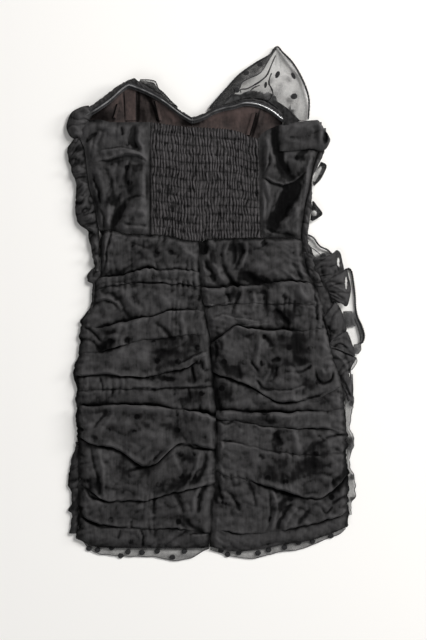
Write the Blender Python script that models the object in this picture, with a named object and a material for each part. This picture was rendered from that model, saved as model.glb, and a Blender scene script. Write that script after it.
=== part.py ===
"""Strapless mini dress, laid flat on a surface with its back up.

Lengths in the tables are millimetres in the dress's own frame: x runs to the right, y towards the
neckline and z up from the surface that the dress lies on. The origin is under the middle of the dress.
Every piece is a cloth wall: its upper points are worked out first, and its lower points from those.
"""

import math
from collections import namedtuple

import bmesh
import bpy

MILLIMETRE = 0.001

# Cloth thicknesses and the space kept between pieces.
WALL = 2.0
LINING_WALL = 1.5
SHEER_WALL = 1.0
GAP = 0.3
SEAM = 0.25

# Heights of the layers above the surface.
FRONT_TOP = WALL
BACK_FLOOR = FRONT_TOP + GAP
BACK_BASE = BACK_FLOOR + WALL
LINING_TUCK = 12.0

# Front of the dress, which lies flat under the back: how far its edges keep inside the back's, and the
# ends and point counts of its edges.
FRONT_INSET = 1.0
FRONT_STRIP_INSET = 1.5
FRONT_HEM_SHORT = 14.0
FRONT_WAIST = (-171.0, 125.0, 15)
FRONT_SIDE_LEFT = (96.0, -334.0, 24)
FRONT_HEM = (-196.0, 182.0, 20)
FRONT_SIDE_RIGHT = (-300.0, 86.0, 20)
FRONT_BODICE_RIGHT = (106.0, 242.0, 11)
FRONT_BODICE_LEFT = (246.0, 116.0, 12)
FRONT_UNDERARM = ((165.0, 262.0), (158.0, 268.0), (104.0, 262.0))

# Skirt folds: height of the gathered cloth, width and shares of height of a crease's two edges.
SKIRT_PUFF = 5.0
SKIRT_WAIST_ROW = 7.0
LIP_WIDTH = 6.0
LIP_SHARE = 0.55
FOOT_SHARE = 0.1
BULGE_SHARE = 0.25
HEM_DROP = 0.5
LONG_GAP = 36.0
SEAM_HALF = 0.4
WAIST_SPACE = 0.8
SKIRT_COLUMNS = (0.0, 0.04, 0.12, 0.24, 0.36, 0.48, 0.6, 0.72, 0.83, 0.92, 0.97, 1.0)
SKIRT_TOP = 96.0
SKIRT_BOTTOM = -366.0

# Gathered side panels of the back bodice: height of the cloth, points down and across, and the shares of
# the way in over which the cloth falls to its seams.
PANEL_PUFF = 4.0
PANEL_ROWS = 14
PANEL_COLUMNS = 9
PANEL_SIDE_FALL = 0.12
PANEL_END_FALL = 0.08

# Shirred centre panel of the back.
GATHERS = 36
SHIRRING_ROWS = 10
GATHER_HEIGHT = 1.5
SHIRRING_PINCH = 0.5
SHIRRED_FLOOR = FRONT_TOP + LINING_WALL + 3.0 * GAP
SHIRRED_LEFT = -98.0

# Neckline: the cups' ends across the dress, and the places of their edge, the binding and the piping
# measured outwards from the piping's line.
CUPS = (("left", -196.0, -36.0), ("right", -34.0, 101.0))
CUP_COLUMNS = 17
CUP_INNER = -5.0
CUP_OUTER = 3.0
CUP_FLAT = 2.0
CUP_LEVELS = (0.3, 0.6, 1.0)
BINDING_HALF = 4.0
BINDING_WALL = 1.2
BINDING_CROWN = 0.6
PIPING_HALF = 1.6
PIPING_HEIGHT = 2.0
PIPING_WALL = 0.5
PIPING_FOOT = BINDING_WALL + BINDING_CROWN + GAP + 0.4
FRILL_WIDTH = 2.0
FRILL_DROP = 5.0
FRILL_CROWN = 1.2
CHANNEL_HEIGHT = 1.0
CHANNEL_CLEAR = 0.7

# Space between a ruffle and what carries it, and the height kept by a ruffle on the folded band.
RUFFLE_SPACE = 0.6
BAND_RUFFLE_FLOOR = 7.0

# Folded band on the right side panel, the share of the panel's height that it presses down, and the
# width over which the panel falls to that.
BAND_LEFT = 94.0
BAND_RIGHT = 172.0
BAND_FLOOR = 6.1
BAND_CROWN = 3.5
BAND_PRESS = 0.8
BAND_PRESS_WIDTH = 10.0

# Net under the hem: how far it reaches in under the skirt, least width, points across and edge wave.
NET_UNDER = 4.0
NET_LEAST = 8.0
NET_COLUMNS = 25
NET_WAVE = 0.25
NET_LEFT_ENDS = (-207.0, -10.0)
NET_RIGHT_ENDS = (-8.0, 196.0)

# Height of the waist seam: place across, y.
WAIST = ((-180, 112), (-155, 110), (-134, 105), (-98, 104), (-65, 101), (-47, 96), (-25, 94),
         (-8, 97), (70, 99), (112, 99), (135, 96))

# Centre seam of the back skirt: y, place across.
CENTRE_SEAM = ((94, -25), (36, -23), (6, -19), (-24, -14), (-54, -8), (-84, -5), (-137, -1),
               (-204, 1), (-234, 1), (-270, -1), (-302, -5), (-332, -7), (-368, -10))

# Side edges of the skirt: y, place across.
SKIRT_LEFT = ((112, -173.5), (81, -173.5), (46, -173.5), (31, -183), (6, -184), (-8, -189), (-20, -198),
              (-34, -203), (-62, -203), (-83, -207), (-104, -212), (-132, -209), (-171, -210),
              (-200, -208), (-250, -205), (-310, -206), (-350, -208))
SKIRT_RIGHT = ((99, 128), (62, 133.5), (36, 142.5), (21, 153.5), (-2, 161), (-24, 166), (-47, 172),
               (-69, 176), (-92, 184), (-114, 191), (-144, 194), (-204, 197), (-264, 199),
               (-317, 200), (-345, 192))

# Hem edge of the opaque skirt and outer edge of the net under it: place across, y.
HEM = ((-215, -350), (-203, -356), (-191, -363), (-172, -367), (-98, -368), (-22, -368), (-9, -366),
       (11, -371), (32, -373), (58, -371), (100, -363), (139, -357), (160, -351), (179, -344),
       (201, -330))
NET_LEFT = ((-222, -351), (-202, -357), (-191, -369), (-182, -375), (-170, -378), (-128, -381),
            (-98, -381), (-62, -387), (-37, -383), (-17, -372), (-9, -369))
NET_RIGHT = ((-9, -370), (7, -375), (22, -380), (58, -384), (71, -381), (97, -374), (128, -370),
             (149, -362), (170, -353), (187, -347), (203, -331))

# Top edge of the back and the neckline's piping and outer edge: place across, y.
BACK_TOP = ((-205, 268), (-196, 275), (-175, 277), (-157, 273), (-98, 273), (-83, 271), (-53, 267),
            (-23, 265), (13, 263), (37, 258), (49, 252), (64, 249), (70, 256), (79, 262), (89, 266),
            (104, 268), (127, 272), (164, 274))
PIPING = ((-203, 280), (-188, 286), (-158, 304), (-137, 321), (-129, 325), (-119, 322), (-101, 315),
          (-80, 304), (-55, 286), (-44, 279), (-35, 275), (-17, 280), (-1, 288), (13, 292), (25, 294),
          (46, 299), (62, 297), (79, 291), (89, 285), (101, 277), (160, 268))
NECK_EDGE = ((-203, 289), (-192, 295), (-169, 310), (-148, 325), (-137, 331), (-124, 336), (-116, 333),
             (-100, 323), (-79, 311), (-58, 294), (-35, 281), (-23, 282), (-14, 286), (-1, 294),
             (14, 299), (29, 303), (52, 309), (64, 309), (76, 306), (89, 299), (104, 287))
NECK_RISE = ((-205, 5), (-170, 9), (-128, 16), (-80, 11), (-35, 6), (10, 11), (50, 15), (80, 11),
             (101, 6), (122, 0))

# Left side: the crease beside the ruffled strip and the strip's outer edge: y, place across.
STRIP_CREASE = ((250, -205), (231, -197), (204, -194), (175, -190), (148, -182), (123, -178),
                (108, -175.5), (90, -174.5), (36, -174.5))
STRIP_LEFT_EDGE = ((249, -213), (232, -223), (224, -223), (205, -218), (195, -215), (175, -210),
                   (157, -211), (126, -209), (119, -204), (108, -192), (79, -187), (56, -181),
                   (36, -184))

# Right side: the seam beside the side strip and the strip's outer edge: y, place across.
STRIP_SEAM = ((246, 160), (219, 151), (198, 145), (178, 142), (156, 136), (123, 131), (99, 128.8),
              (62, 134.3), (36, 143.3), (21, 154.3))
STRIP_RIGHT_EDGE = ((246, 168), (232, 166), (207, 154), (181, 145), (156, 145), (126, 142),
                    (103, 138), (81, 145), (54, 157), (25, 162))
SHIRRED_RIGHT = ((250, 64), (200, 66.5), (150, 66.5), (95, 69))

# Creases that cross one half of the back skirt. The five heights are y from the centre seam to the
# side, the lip is the proud edge, above or below the crease, and the last three are its depths.
Crease = namedtuple("Crease", "name seam quarter middle far_quarter side lip_above at_seam at_middle at_side")

LEFT_CREASES = (
    Crease("hip", 48, 51, 50, 43, 38, False, 1, 8, 5),
    Crease("hip_tuck", 27, 30, 31, 28, 20, True, 2, 2, 0),
    Crease("thigh", -12, -11, -21, -32, -42, False, 4, 7, 7),
    Crease("side_tuck", -45, -48, -55, -66, -78, True, 0, 2, 6),
    Crease("middle", -74, -100, -108, -106, -108, True, 4, 6, 5),
    Crease("middle_tuck", -123, -126, -129, -129, -130, False, 2, 3, 2),
    Crease("long", -168, -161, -155, -153, -156, False, 6, 8, 6),
    Crease("swag", -220, -209, -243, -218, -201, True, 4, 9, 7),
    Crease("low", -272, -281, -294, -297, -273, True, 5, 4, 6),
    Crease("casing", -345, -338, -338, -335, -318, True, 4, 2, 4),
)
RIGHT_CREASES = (
    Crease("hip", 24, 24, 27, 33, 31, False, 4, 9, 4),
    Crease("hip_tuck", -4, -1, 0, 0, -2, True, 3, 3, 1),
    Crease("thigh", -60, -36, -41, -41, -36, False, 6, 7, 8),
    Crease("drape", -102, -119, -147, -144, -123, True, 6, 8, 4),
    Crease("long", -161, -163, -165, -162, -160, False, 5, 7, 5),
    Crease("long_tuck", -173, -180, -187, -187, -196, True, 3, 5, 5),
    Crease("soft", -205, -214, -224, -228, -222, False, 3, 3, 2),
    Crease("swag", -252, -266, -279, -293, -257, True, 5, 8, 10),
    Crease("casing", -336, -345, -341, -330, -312, True, 2, 3, 4),
)

# Folds of the bodice panels: the three places of each fold's line, its half width and its height,
# which is negative for a trough.
Fold = namedtuple("Fold", "name start bend end half_width height")

LEFT_BODICE_FOLDS = (
    Fold("tuck band", (-178, 225), (-138, 229), (-101, 215), 8, 3.5),
    Fold("under the band", (-160, 212), (-132, 219), (-101, 206), 6, -2.5),
    Fold("armhole pleat", (-122, 268), (-127, 246), (-118, 233), 7, -3.5),
    Fold("corner pleat", (-180, 260), (-188, 250), (-198, 241), 7, -3.0),
    Fold("waist pleat", (-140, 160), (-145, 133), (-156, 112), 9, -4.0),
    Fold("long ridge", (-165, 196), (-160, 160), (-166, 122), 11, 2.5),
    Fold("short ridge", (-118, 200), (-112, 165), (-118, 125), 13, 2.5),
)
RIGHT_BODICE_FOLDS = (
    Fold("long pleat", (89, 264), (96, 231), (110, 194), 8, -4.5),
    Fold("cross pleat", (70, 190), (106, 178), (131, 196), 6, -4.0),
    Fold("hollow", (130, 180), (104, 160), (86, 122), 13, -3.5),
    Fold("ridge beside the seam", (78, 240), (80, 210), (74, 185), 8, 2.0),
    Fold("ridge over the hollow", (122, 224), (124, 210), (118, 196), 9, 2.5),
    Fold("low ridge", (112, 150), (118, 130), (106, 112), 9, 3.0),
)

# Sewn channels on the lining: top end and bottom end of the middle line, and half the width.
Channel = namedtuple("Channel", "name top bottom half_width")

CHANNELS = (
    Channel("boning_channel_left", (-126, 316), (-127, 276), 9.0),
    Channel("boning_channel_side", (-146, 299), (-153, 280), 3.0),
    Channel("boning_channel_middle", (-90, 303), (-84, 276), 3.0),
    Channel("boning_channel_right", (58, 285), (50, 260), 4.0),
)

# Ruffle pieces: what the sewn line follows and from where to where, or its own places where it follows
# nothing; the free edge; the height of the lower points at the sewn line and at the edge, the height of
# the crown between them, and the number and height of the waves along the edge.
Ruffle = namedtuple("Ruffle", "name carrier root edge root_z edge_z crown waves wave look columns rows")

RUFFLES = (
    Ruffle("underarm_gather_left", "free", ((-196.6, 292), (-203.5, 280), (-205.7, 268), (-205.8, 253)),
           ((-199, 295), (-215, 287), (-222, 276), (-224, 265), (-219, 253), (-211, 250)),
           2.6, 2.0, 8.0, 3, 0.8, "cloth", 9, 5),
    Ruffle("side_tip_left", "free", ((-181.55, 56), (-184.4, 36)),
           ((-186, 52), (-193, 43), (-192, 37), (-186, 34)),
           2.6, 1.5, 1.0, 1, 0.3, "cloth", 5, 4),
    Ruffle("bust_petal_left", "neck", (-115, -58),
           ((-113, 336), (-92, 334), (-86, 323), (-78, 316), (-67, 304), (-57, 295)),
           0.4, 9.0, 1.0, 2, 0.4, "sheer", 9, 3),
    Ruffle("bust_petal_right", "neck", (-8, 138),
           ((-9, 294), (-4, 301), (16, 324), (37, 346), (61, 363), (82, 375), (88, 384), (94, 387),
            (101, 379), (116, 363), (130, 340), (139, 316), (141, 298), (139.5, 278)),
           0.4, 1.5, 2.0, 5, 0.8, "sheer", 22, 6),
    Ruffle("side_ruffle_right_a", "strip", (206, 181),
           ((158, 213), (166, 208), (163, 198), (157, 187), (148, 178)),
           2.5, 4.0, 2.0, 1, 0.8, "sheer", 9, 5),
    Ruffle("side_ruffle_right_b", "strip", (155, 126),
           ((147, 154), (152, 147), (160, 136), (154, 130), (145, 125)),
           2.5, 3.5, 2.0, 1, 0.8, "sheer", 9, 5),
    Ruffle("side_ruffle_right_c", "strip", (102, 75.5),
           ((140, 103), (149, 95), (160, 87), (172, 80), (176, 77)),
           2.0, 1.0, 3.0, 2, 0.8, "sheer", 9, 5),
    Ruffle("side_ruffle_right_d", "strip", (74, 36),
           ((177, 75.5), (186, 76), (191, 63), (193, 51), (178, 37.5), (163, 34)),
           2.5, 3.0, 5.0, 3, 1.2, "cloth", 10, 5),
    Ruffle("side_ruffle_right_e", "free", ((162.8, 30), (159.5, 14), (163.4, -8)),
           ((164, 32), (178, 36), (194, 44), (202, 34), (203, 18), (199, 1), (192, -1), (174, -2)),
           2.5, 2.0, 5.0, 3, 1.2, "cloth", 11, 5),
    Ruffle("side_ruffle_right_f", "skirt", (-12, -48),
           ((166, -10), (179, -4), (188, -10), (195, -24), (196, -36), (188, -42), (175, -50)),
           3.0, 2.0, 5.0, 2, 1.0, "cloth", 10, 5),
    Ruffle("side_ruffle_right_g", "skirt", (-52, -77),
           ((176, -52), (190, -45), (199, -50), (206, -66), (211, -80), (196, -76), (182, -78)),
           3.0, 2.0, 4.0, 2, 1.0, "cloth", 10, 5),
    Ruffle("side_ruffle_right_h", "skirt", (-80, -132),
           ((184, -80), (198, -81), (205, -92), (206, -108), (207, -124), (206, -134)),
           2.5, 1.5, 5.0, 4, 1.0, "cloth", 10, 5),
    Ruffle("side_ruffle_right_net", "free",
           ((194, 43), (200, 30), (201, 12), (195, -14), (194, -38), (203, -62), (207, -72)),
           ((195, 49), (200, 51), (206, 43), (209, 10), (211, -17), (216, -28), (222, -42), (224, -50),
            (220, -62), (214, -74)),
           0.2, 0.4, 0.4, 5, 0.2, "sheer", 16, 3),
)

# Narrow ruffle strips that show beside the skirt's lower edges: y, place across.
LOWER_LEFT_STRIP = ((-206, -210), (-219, -212), (-231, -217), (-249, -220), (-273, -223), (-282, -218),
                    (-300, -217), (-311, -222), (-316, -216), (-333, -218), (-349, -222))
LOWER_RIGHT_STRIP = ((-137, 206), (-144, 208), (-167, 205), (-186, 202), (-200, 208), (-212, 209),
                     (-228, 203), (-240, 202), (-258, 208), (-282, 211), (-291, 211), (-300, 205),
                     (-312, 204), (-326, 206))

# Folded band over the top of the right side panel: its top and lower edges: place across, y.
BAND_TOP = ((94, 269), (130, 273), (162, 276), (169, 268), (172, 262))
BAND_BOTTOM = ((94, 231), (119, 231), (151, 234), (167, 233), (172, 236))

# Colour, roughness and metallic value of each kind of cloth.
LOOKS = {
    "cloth": ((0.035, 0.034, 0.036), 0.55, 0.0),
    "shirred": ((0.032, 0.031, 0.033), 0.6, 0.0),
    "lining": ((0.060, 0.044, 0.040), 0.5, 0.0),
    "binding": ((0.090, 0.090, 0.095), 0.4, 0.0),
    "piping": ((0.300, 0.300, 0.310), 0.25, 0.3),
    "sheer": ((0.250, 0.250, 0.255), 0.6, 0.0),
}


def smooth(share):
    """Eased share from 0 to 1."""
    share = min(1.0, max(0.0, share))
    return share * share * (3.0 - 2.0 * share)


def mix(first, last, share):
    """Value at a share of the way between two values."""
    return first + (last - first) * share


def read(table, place):
    """Value of a table of (place, value) rows, joined by curves that never swing past a row."""
    rows = sorted(table)
    if place <= rows[0][0]:
        return rows[0][1]
    if place >= rows[-1][0]:
        return rows[-1][1]
    slopes = [(b[1] - a[1]) / (b[0] - a[0]) for a, b in zip(rows, rows[1:])]
    leans = [slopes[0]]
    for before, after in zip(slopes, slopes[1:]):
        level = before * after <= 0.0
        leans.append(0.0 if level else 2.0 * before * after / (before + after))
    leans.append(slopes[-1])
    index = next(i for i in range(len(slopes)) if place <= rows[i + 1][0])
    step = rows[index + 1][0] - rows[index][0]
    share = (place - rows[index][0]) / step
    value = mix(rows[index][1], rows[index + 1][1], smooth(share))
    value += step * leans[index] * share * (1.0 - share) ** 2
    value -= step * leans[index + 1] * share ** 2 * (1.0 - share)
    return value


def along(points, share):
    """Place at a share of the length of a smooth curve through some places."""
    lengths = [math.dist(a, b) for a, b in zip(points, points[1:])]
    reach = share * sum(lengths)
    index = 0
    while index < len(lengths) - 1 and reach > lengths[index]:
        reach -= lengths[index]
        index += 1
    part = min(1.0, reach / lengths[index])
    before = points[max(0, index - 1)]
    start = points[index]
    end = points[index + 1]
    after = points[min(len(points) - 1, index + 2)]
    place = []
    for axis in range(2):
        lean_in = 0.5 * (end[axis] - before[axis])
        lean_out = 0.5 * (after[axis] - start[axis])
        value = mix(start[axis], end[axis], smooth(part))
        value += lean_in * part * (1.0 - part) ** 2 - lean_out * part ** 2 * (1.0 - part)
        place.append(value)
    return place


def distance_to_line(x, y, line):
    """Distance from a place to a line of straight pieces, and the share along it of the nearest place."""
    best = (math.inf, 0.0)
    for index, (a, b) in enumerate(zip(line, line[1:])):
        run = (b[0] - a[0], b[1] - a[1])
        length = run[0] ** 2 + run[1] ** 2
        share = ((x - a[0]) * run[0] + (y - a[1]) * run[1]) / length
        share = min(1.0, max(0.0, share))
        gap = math.hypot(x - a[0] - share * run[0], y - a[1] - share * run[1])
        best = min(best, (gap, (index + share) / (len(line) - 1)))
    return best


def fold_height(x, y, folds):
    """Height that a table of folds adds at a place."""
    height = 0.0
    for fold in folds:
        gap, share = distance_to_line(x, y, (fold.start, fold.bend, fold.end))
        fade = 0.4 + 0.6 * math.sin(math.pi * share)
        height += fold.height * fade * math.exp(-((gap / fold.half_width) ** 2))
    return height


def ripple(x, y):
    """Small uneven height of gathered cloth."""
    return 0.5 * math.sin(0.13 * x + 1.7 * math.sin(0.021 * y)) + 0.4 * math.sin(0.071 * y + 0.045 * x)


def neck_edge(x):
    """Outer edge of the neckline's gathered edge."""
    return max(read(NECK_EDGE, x), read(PIPING, x) + BINDING_HALF + GAP + FRILL_WIDTH)


def front_top(x, y):
    """Height of the front cup's upper side, which rises to the neckline beyond the back's top edge."""
    start = read(BACK_TOP, x) + CUP_FLAT
    end = read(PIPING, x) + CUP_OUTER
    return FRONT_TOP + read(NECK_RISE, x) * smooth((y - start) / (end - start))


def lining_top(x, y):
    """Height of the lining's upper side."""
    return front_top(x, y) + GAP + LINING_WALL


def on_lining(x, out):
    """Height on the flat strip of lining along its top edge, by the distance out from the piping."""
    piping = read(PIPING, x)
    inner = lining_top(x, piping + CUP_INNER)
    outer = lining_top(x, piping + CUP_OUTER)
    return mix(inner, outer, (out - CUP_INNER) / (CUP_OUTER - CUP_INNER)) + GAP


def under_back(x, y):
    """Lowest height that the back's inner side may have at a place."""
    lined = x < 122.0 and y > read(BACK_TOP, x) - 2.0 * LINING_TUCK
    return FRONT_TOP + LINING_WALL + 2.0 * GAP if lined else BACK_FLOOR


def make_piece(name, points, faces, look):
    """Adds one closed piece of cloth from points in millimetres."""
    mesh = bpy.data.meshes.new(name)
    mesh.from_pydata([[value * MILLIMETRE for value in point] for point in points], [], faces)
    work = bmesh.new()
    work.from_mesh(mesh)
    bmesh.ops.recalc_face_normals(work, faces=work.faces)
    work.to_mesh(mesh)
    work.free()
    mesh.shade_smooth()
    mesh.set_sharp_from_angle(angle=math.radians(50.0))
    colour, roughness, metallic = LOOKS[look]
    material = bpy.data.materials.new(name + "_" + look)
    material.use_nodes = True
    shader = material.node_tree.nodes["Principled BSDF"]
    shader.inputs["Base Color"].default_value = (*colour, 1.0)
    shader.inputs["Roughness"].default_value = roughness
    shader.inputs["Metallic"].default_value = metallic
    mesh.materials.append(material)
    piece = bpy.data.objects.new(name, mesh)
    piece.parent = bpy.data.objects["dress"]
    bpy.context.collection.objects.link(piece)
    return piece


def rim_of(rows, columns):
    """Indices round the edge of a grid of points."""
    top = list(range(columns))
    right = [row * columns + columns - 1 for row in range(1, rows)]
    bottom = [(rows - 1) * columns + column for column in range(columns - 2, -1, -1)]
    left = [row * columns for row in range(rows - 2, 0, -1)]
    return top + right + bottom + left


def grid_faces(rows, columns, start):
    """Four-sided faces of a grid of points."""
    faces = []
    for row in range(rows - 1):
        for column in range(columns - 1):
            first = start + row * columns + column
            faces.append((first, first + 1, first + columns + 1, first + columns))
    return faces


def wall(name, upper, thickness, look, plain_floor=None):
    """Closes a grid of upper points into a wall, by a like lower side or by one flat one."""
    rows = len(upper)
    columns = len(upper[0])
    points = [point for row in upper for point in row]
    rim = rim_of(rows, columns)
    faces = grid_faces(rows, columns, 0)
    count = len(points)
    if plain_floor is None:
        points += [(x, y, z - thickness) for x, y, z in points]
        faces += grid_faces(rows, columns, count)
        lower_rim = [index + count for index in rim]
    else:
        lower_rim = list(range(count, count + len(rim)))
        points += [(points[index][0], points[index][1], plain_floor) for index in rim]
        faces.append(tuple(lower_rim))
    for place in range(len(rim)):
        after = (place + 1) % len(rim)
        faces.append((rim[place], rim[after], lower_rim[after], lower_rim[place]))
    return make_piece(name, points, faces, look)


def plate(name, outline, low, high, look):
    """Adds a flat piece with one outline and two flat sides."""
    count = len(outline)
    points = [(x, y, low) for x, y in outline] + [(x, y, high) for x, y in outline]
    faces = [tuple(range(count)), tuple(range(count, 2 * count))]
    for place in range(count):
        after = (place + 1) % count
        faces.append((place, after, count + after, count + place))
    return make_piece(name, points, faces, look)


def even(first, last, count):
    """Values in even steps."""
    return [mix(first, last, step / (count - 1)) for step in range(count)]


def seam_place(edge, level, shift):
    """Place across of a bodice panel's edge, at a share of the way from its top to the waist."""
    x = edge[0][1]
    for _ in range(8):
        y = mix(read(BACK_TOP, x), read(WAIST, x) + SEAM, level)
        x = read(edge, y) + shift
    return x


def front_skirt():
    """Plain front skirt, flat on the surface."""
    waist = [(x, read(WAIST, x) - SEAM) for x in reversed(even(*FRONT_WAIST))]
    left = [(read(SKIRT_LEFT, y) + FRONT_INSET, y) for y in even(*FRONT_SIDE_LEFT)]
    hem = [(x, read(HEM, x) + FRONT_HEM_SHORT) for x in even(*FRONT_HEM)]
    right = [(read(SKIRT_RIGHT, y) - FRONT_INSET, y) for y in even(*FRONT_SIDE_RIGHT)]
    plate("front_skirt", waist + left + hem + right, 0.0, FRONT_TOP, "cloth")


def front_bodice():
    """Front bodice below the cups, flat on the surface."""
    waist = [(x, read(WAIST, x) + SEAM) for x in even(*FRONT_WAIST)]
    right = [(read(STRIP_RIGHT_EDGE, y) - FRONT_STRIP_INSET, y) for y in even(*FRONT_BODICE_RIGHT)]
    side = list(FRONT_UNDERARM)
    across = [x for _, start, end in CUPS for x in even(start, end, CUP_COLUMNS)]
    top = [(x, read(BACK_TOP, x) - LINING_TUCK - SEAM) for x in reversed(across)]
    left = [(read(STRIP_LEFT_EDGE, y) + 4.0 * FRONT_STRIP_INSET, y) for y in even(*FRONT_BODICE_LEFT)]
    plate("front_bodice", waist + right + side + top + left, 0.0, FRONT_TOP, "cloth")


def cup_rows(left, right, height):
    """Points of a cup, from under the back's top edge up to the neckline."""
    columns = []
    for x in even(left, right, CUP_COLUMNS):
        low = read(BACK_TOP, x)
        high = read(PIPING, x) + CUP_INNER
        places = [low - LINING_TUCK, low + CUP_FLAT]
        places += [mix(low + CUP_FLAT, high, level) for level in CUP_LEVELS]
        places.append(read(PIPING, x) + CUP_OUTER)
        columns.append([(x, y, height(x, y)) for y in places])
    return [list(row) for row in zip(*columns)]


def front_cups():
    """Outer cups of the front, with their lining and its sewn channels on them."""
    for side, left, right in CUPS:
        wall("front_cup_" + side, cup_rows(left, right, front_top), WALL, "cloth")
        wall("lining_cup_" + side, cup_rows(left, right, lining_top), LINING_WALL, "lining")
    for channel in CHANNELS:
        boning_channel(channel)


def boning_channel(channel):
    """Channel sewn on the lining, made from the lining's points moved out."""
    upper = []
    for level in even(0.0, 1.0, 5):
        row = []
        for share in (-1.0, 0.0, 1.0):
            x = mix(channel.top[0], channel.bottom[0], level) + share * channel.half_width
            y = mix(channel.top[1], channel.bottom[1], level)
            proud = CHANNEL_HEIGHT * (1.0 - 0.4 * abs(share))
            row.append((x, y, lining_top(x, y) + CHANNEL_CLEAR + proud))
        upper.append(row)
    wall(channel.name, upper, 0.6 * CHANNEL_HEIGHT, "lining")


def neckline_strip(name, left, right, profile, thickness, look):
    """Strip that follows the neckline, with a (distance out, height) profile across it."""
    upper = []
    for out, height in profile:
        row = []
        for x in even(left, right, CUP_COLUMNS):
            row.append((x, read(PIPING, x) + out, on_lining(x, out) + height))
        upper.append(row)
    wall(name, upper, thickness, look)


def frill_edge_top(x):
    """Height of the upper side of the gathered edge, along its outer line."""
    top = on_lining(x, BINDING_HALF) + BINDING_WALL - FRILL_DROP
    return max(FRONT_TOP + 1.0, top) + 0.6 * math.sin(0.9 * x)


def neckline_frill(name, left, right):
    """Gathered organza edge outside the binding, turned down towards the front."""
    upper = []
    for level in (0.0, 0.5, 1.0):
        row = []
        for x in even(left, right, CUP_COLUMNS):
            inner = read(PIPING, x) + BINDING_HALF + GAP
            crown = FRILL_CROWN * math.sin(math.pi * level)
            height = mix(on_lining(x, BINDING_HALF) + BINDING_WALL, frill_edge_top(x), level)
            row.append((x, mix(inner, neck_edge(x), level), height + crown))
        upper.append(row)
    wall(name, upper, WALL, "cloth")


def neckline():
    """Binding, piping and gathered edge round the sweetheart neckline."""
    crown = BINDING_WALL + BINDING_CROWN
    binding = ((-BINDING_HALF, BINDING_WALL), (0.0, crown), (BINDING_HALF, BINDING_WALL))
    top = PIPING_FOOT + PIPING_HEIGHT
    piping = ((-PIPING_HALF, PIPING_FOOT), (0.0, top), (PIPING_HALF, PIPING_FOOT))
    for side, left, right in CUPS:
        neckline_strip("neckline_binding_" + side, left, right, binding, BINDING_WALL, "binding")
        neckline_strip("neckline_piping_" + side, left, right, piping, PIPING_WALL, "piping")
        neckline_frill("neckline_frill_" + side, left, right)


def shirred_panel():
    """Elasticated centre panel: raised gathers, pinched at each shirring row, over a plain inside."""
    columns = 2 * GATHERS + 1
    rows = 2 * SHIRRING_ROWS + 1
    upper = []
    for row_number in range(rows):
        level = row_number / (rows - 1)
        pinch = SHIRRING_PINCH if row_number % 2 == 0 else 0.0
        right = seam_place(SHIRRED_RIGHT, level, -SEAM)
        row = []
        for column in range(columns):
            x = mix(SHIRRED_LEFT + SEAM, right, column / (columns - 1))
            y = mix(read(BACK_TOP, x), read(WAIST, x) + SEAM, level)
            gather = GATHER_HEIGHT if column % 2 == 1 else 0.0
            row.append((x, y, SHIRRED_FLOOR + WALL + gather - pinch))
        upper.append(row)
    wall("back_shirred_panel", upper, WALL, "shirred", plain_floor=SHIRRED_FLOOR)


def side_panel(name, left_edge, left_shift, right_edge, right_shift, folds, covered):
    """Gathered panel of the back bodice between two edges; a covered place keeps low."""
    upper = []
    for level in even(0.0, 1.0, PANEL_ROWS):
        left = seam_place(left_edge, level, left_shift)
        right = seam_place(right_edge, level, right_shift)
        row = []
        for share in even(0.0, 1.0, PANEL_COLUMNS):
            x = mix(left, right, share)
            y = mix(read(BACK_TOP, x), read(WAIST, x) + SEAM, level)
            edge = smooth(min(share, 1.0 - share) / PANEL_SIDE_FALL)
            edge *= smooth(min(level, 1.0 - level) / PANEL_END_FALL) * (1.0 - covered(x, y))
            puff = max(0.0, PANEL_PUFF + fold_height(x, y, folds) + ripple(x, y))
            row.append((x, y, under_back(x, y) + WALL + edge * puff))
        upper.append(row)
    wall(name, upper, WALL, "cloth")


def band_cover(x, y):
    """How much of its height the panel gives up under the folded band."""
    over = (y - read(BAND_BOTTOM, x) + BAND_PRESS_WIDTH) / BAND_PRESS_WIDTH
    beside = (x - BAND_LEFT + 1.4 * BAND_PRESS_WIDTH) / BAND_PRESS_WIDTH
    return BAND_PRESS * smooth(over) * smooth(beside)


def back_sides():
    """Gathered side panels of the back bodice."""
    side_panel("back_bodice_left", STRIP_CREASE, SEAM, ((0.0, SHIRRED_LEFT),), -SEAM,
               LEFT_BODICE_FOLDS, lambda x, y: 0.0)
    side_panel("back_bodice_right", SHIRRED_RIGHT, SEAM, STRIP_SEAM, -SEAM,
               RIGHT_BODICE_FOLDS, band_cover)


def folded_band():
    """Band folded over the top of the right side panel, lying on it."""
    upper = []
    for level in even(0.0, 1.0, 7):
        row = []
        for x in even(BAND_LEFT, BAND_RIGHT, 11):
            y = mix(read(BAND_TOP, x), read(BAND_BOTTOM, x), level)
            crown = BAND_CROWN * max(0.0, math.sin(math.pi * level)) ** 0.5
            row.append((x, y, BAND_FLOOR + WALL + crown * smooth((BAND_RIGHT - x) / 12.0)))
        upper.append(row)
    wall("back_band_right", upper, WALL, "cloth")


def ruffled_strip(name, inner_edge, outer_edge, top, bottom, rows, floor, crown, waves, look, thickness):
    """Narrow gathered strip down one side, between two edges given as tables of y."""
    direction = 1.0 if read(outer_edge, top) > read(inner_edge, top) else -1.0
    upper = []
    for level in even(0.0, 1.0, rows):
        y = mix(top, bottom, level)
        inner = read(inner_edge, y) + direction * SEAM
        outer = read(outer_edge, y)
        row = []
        for share in (0.0, 0.3, 0.7, 1.0):
            wave = 0.5 + 0.5 * math.sin(2.0 * math.pi * waves * level + 2.0 * share)
            puff = math.sin(math.pi * share) * crown * (0.6 + 0.4 * wave)
            row.append((mix(inner, outer, share), y, floor + thickness + puff))
        upper.append(row)
    wall(name, upper, thickness, look)


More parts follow.
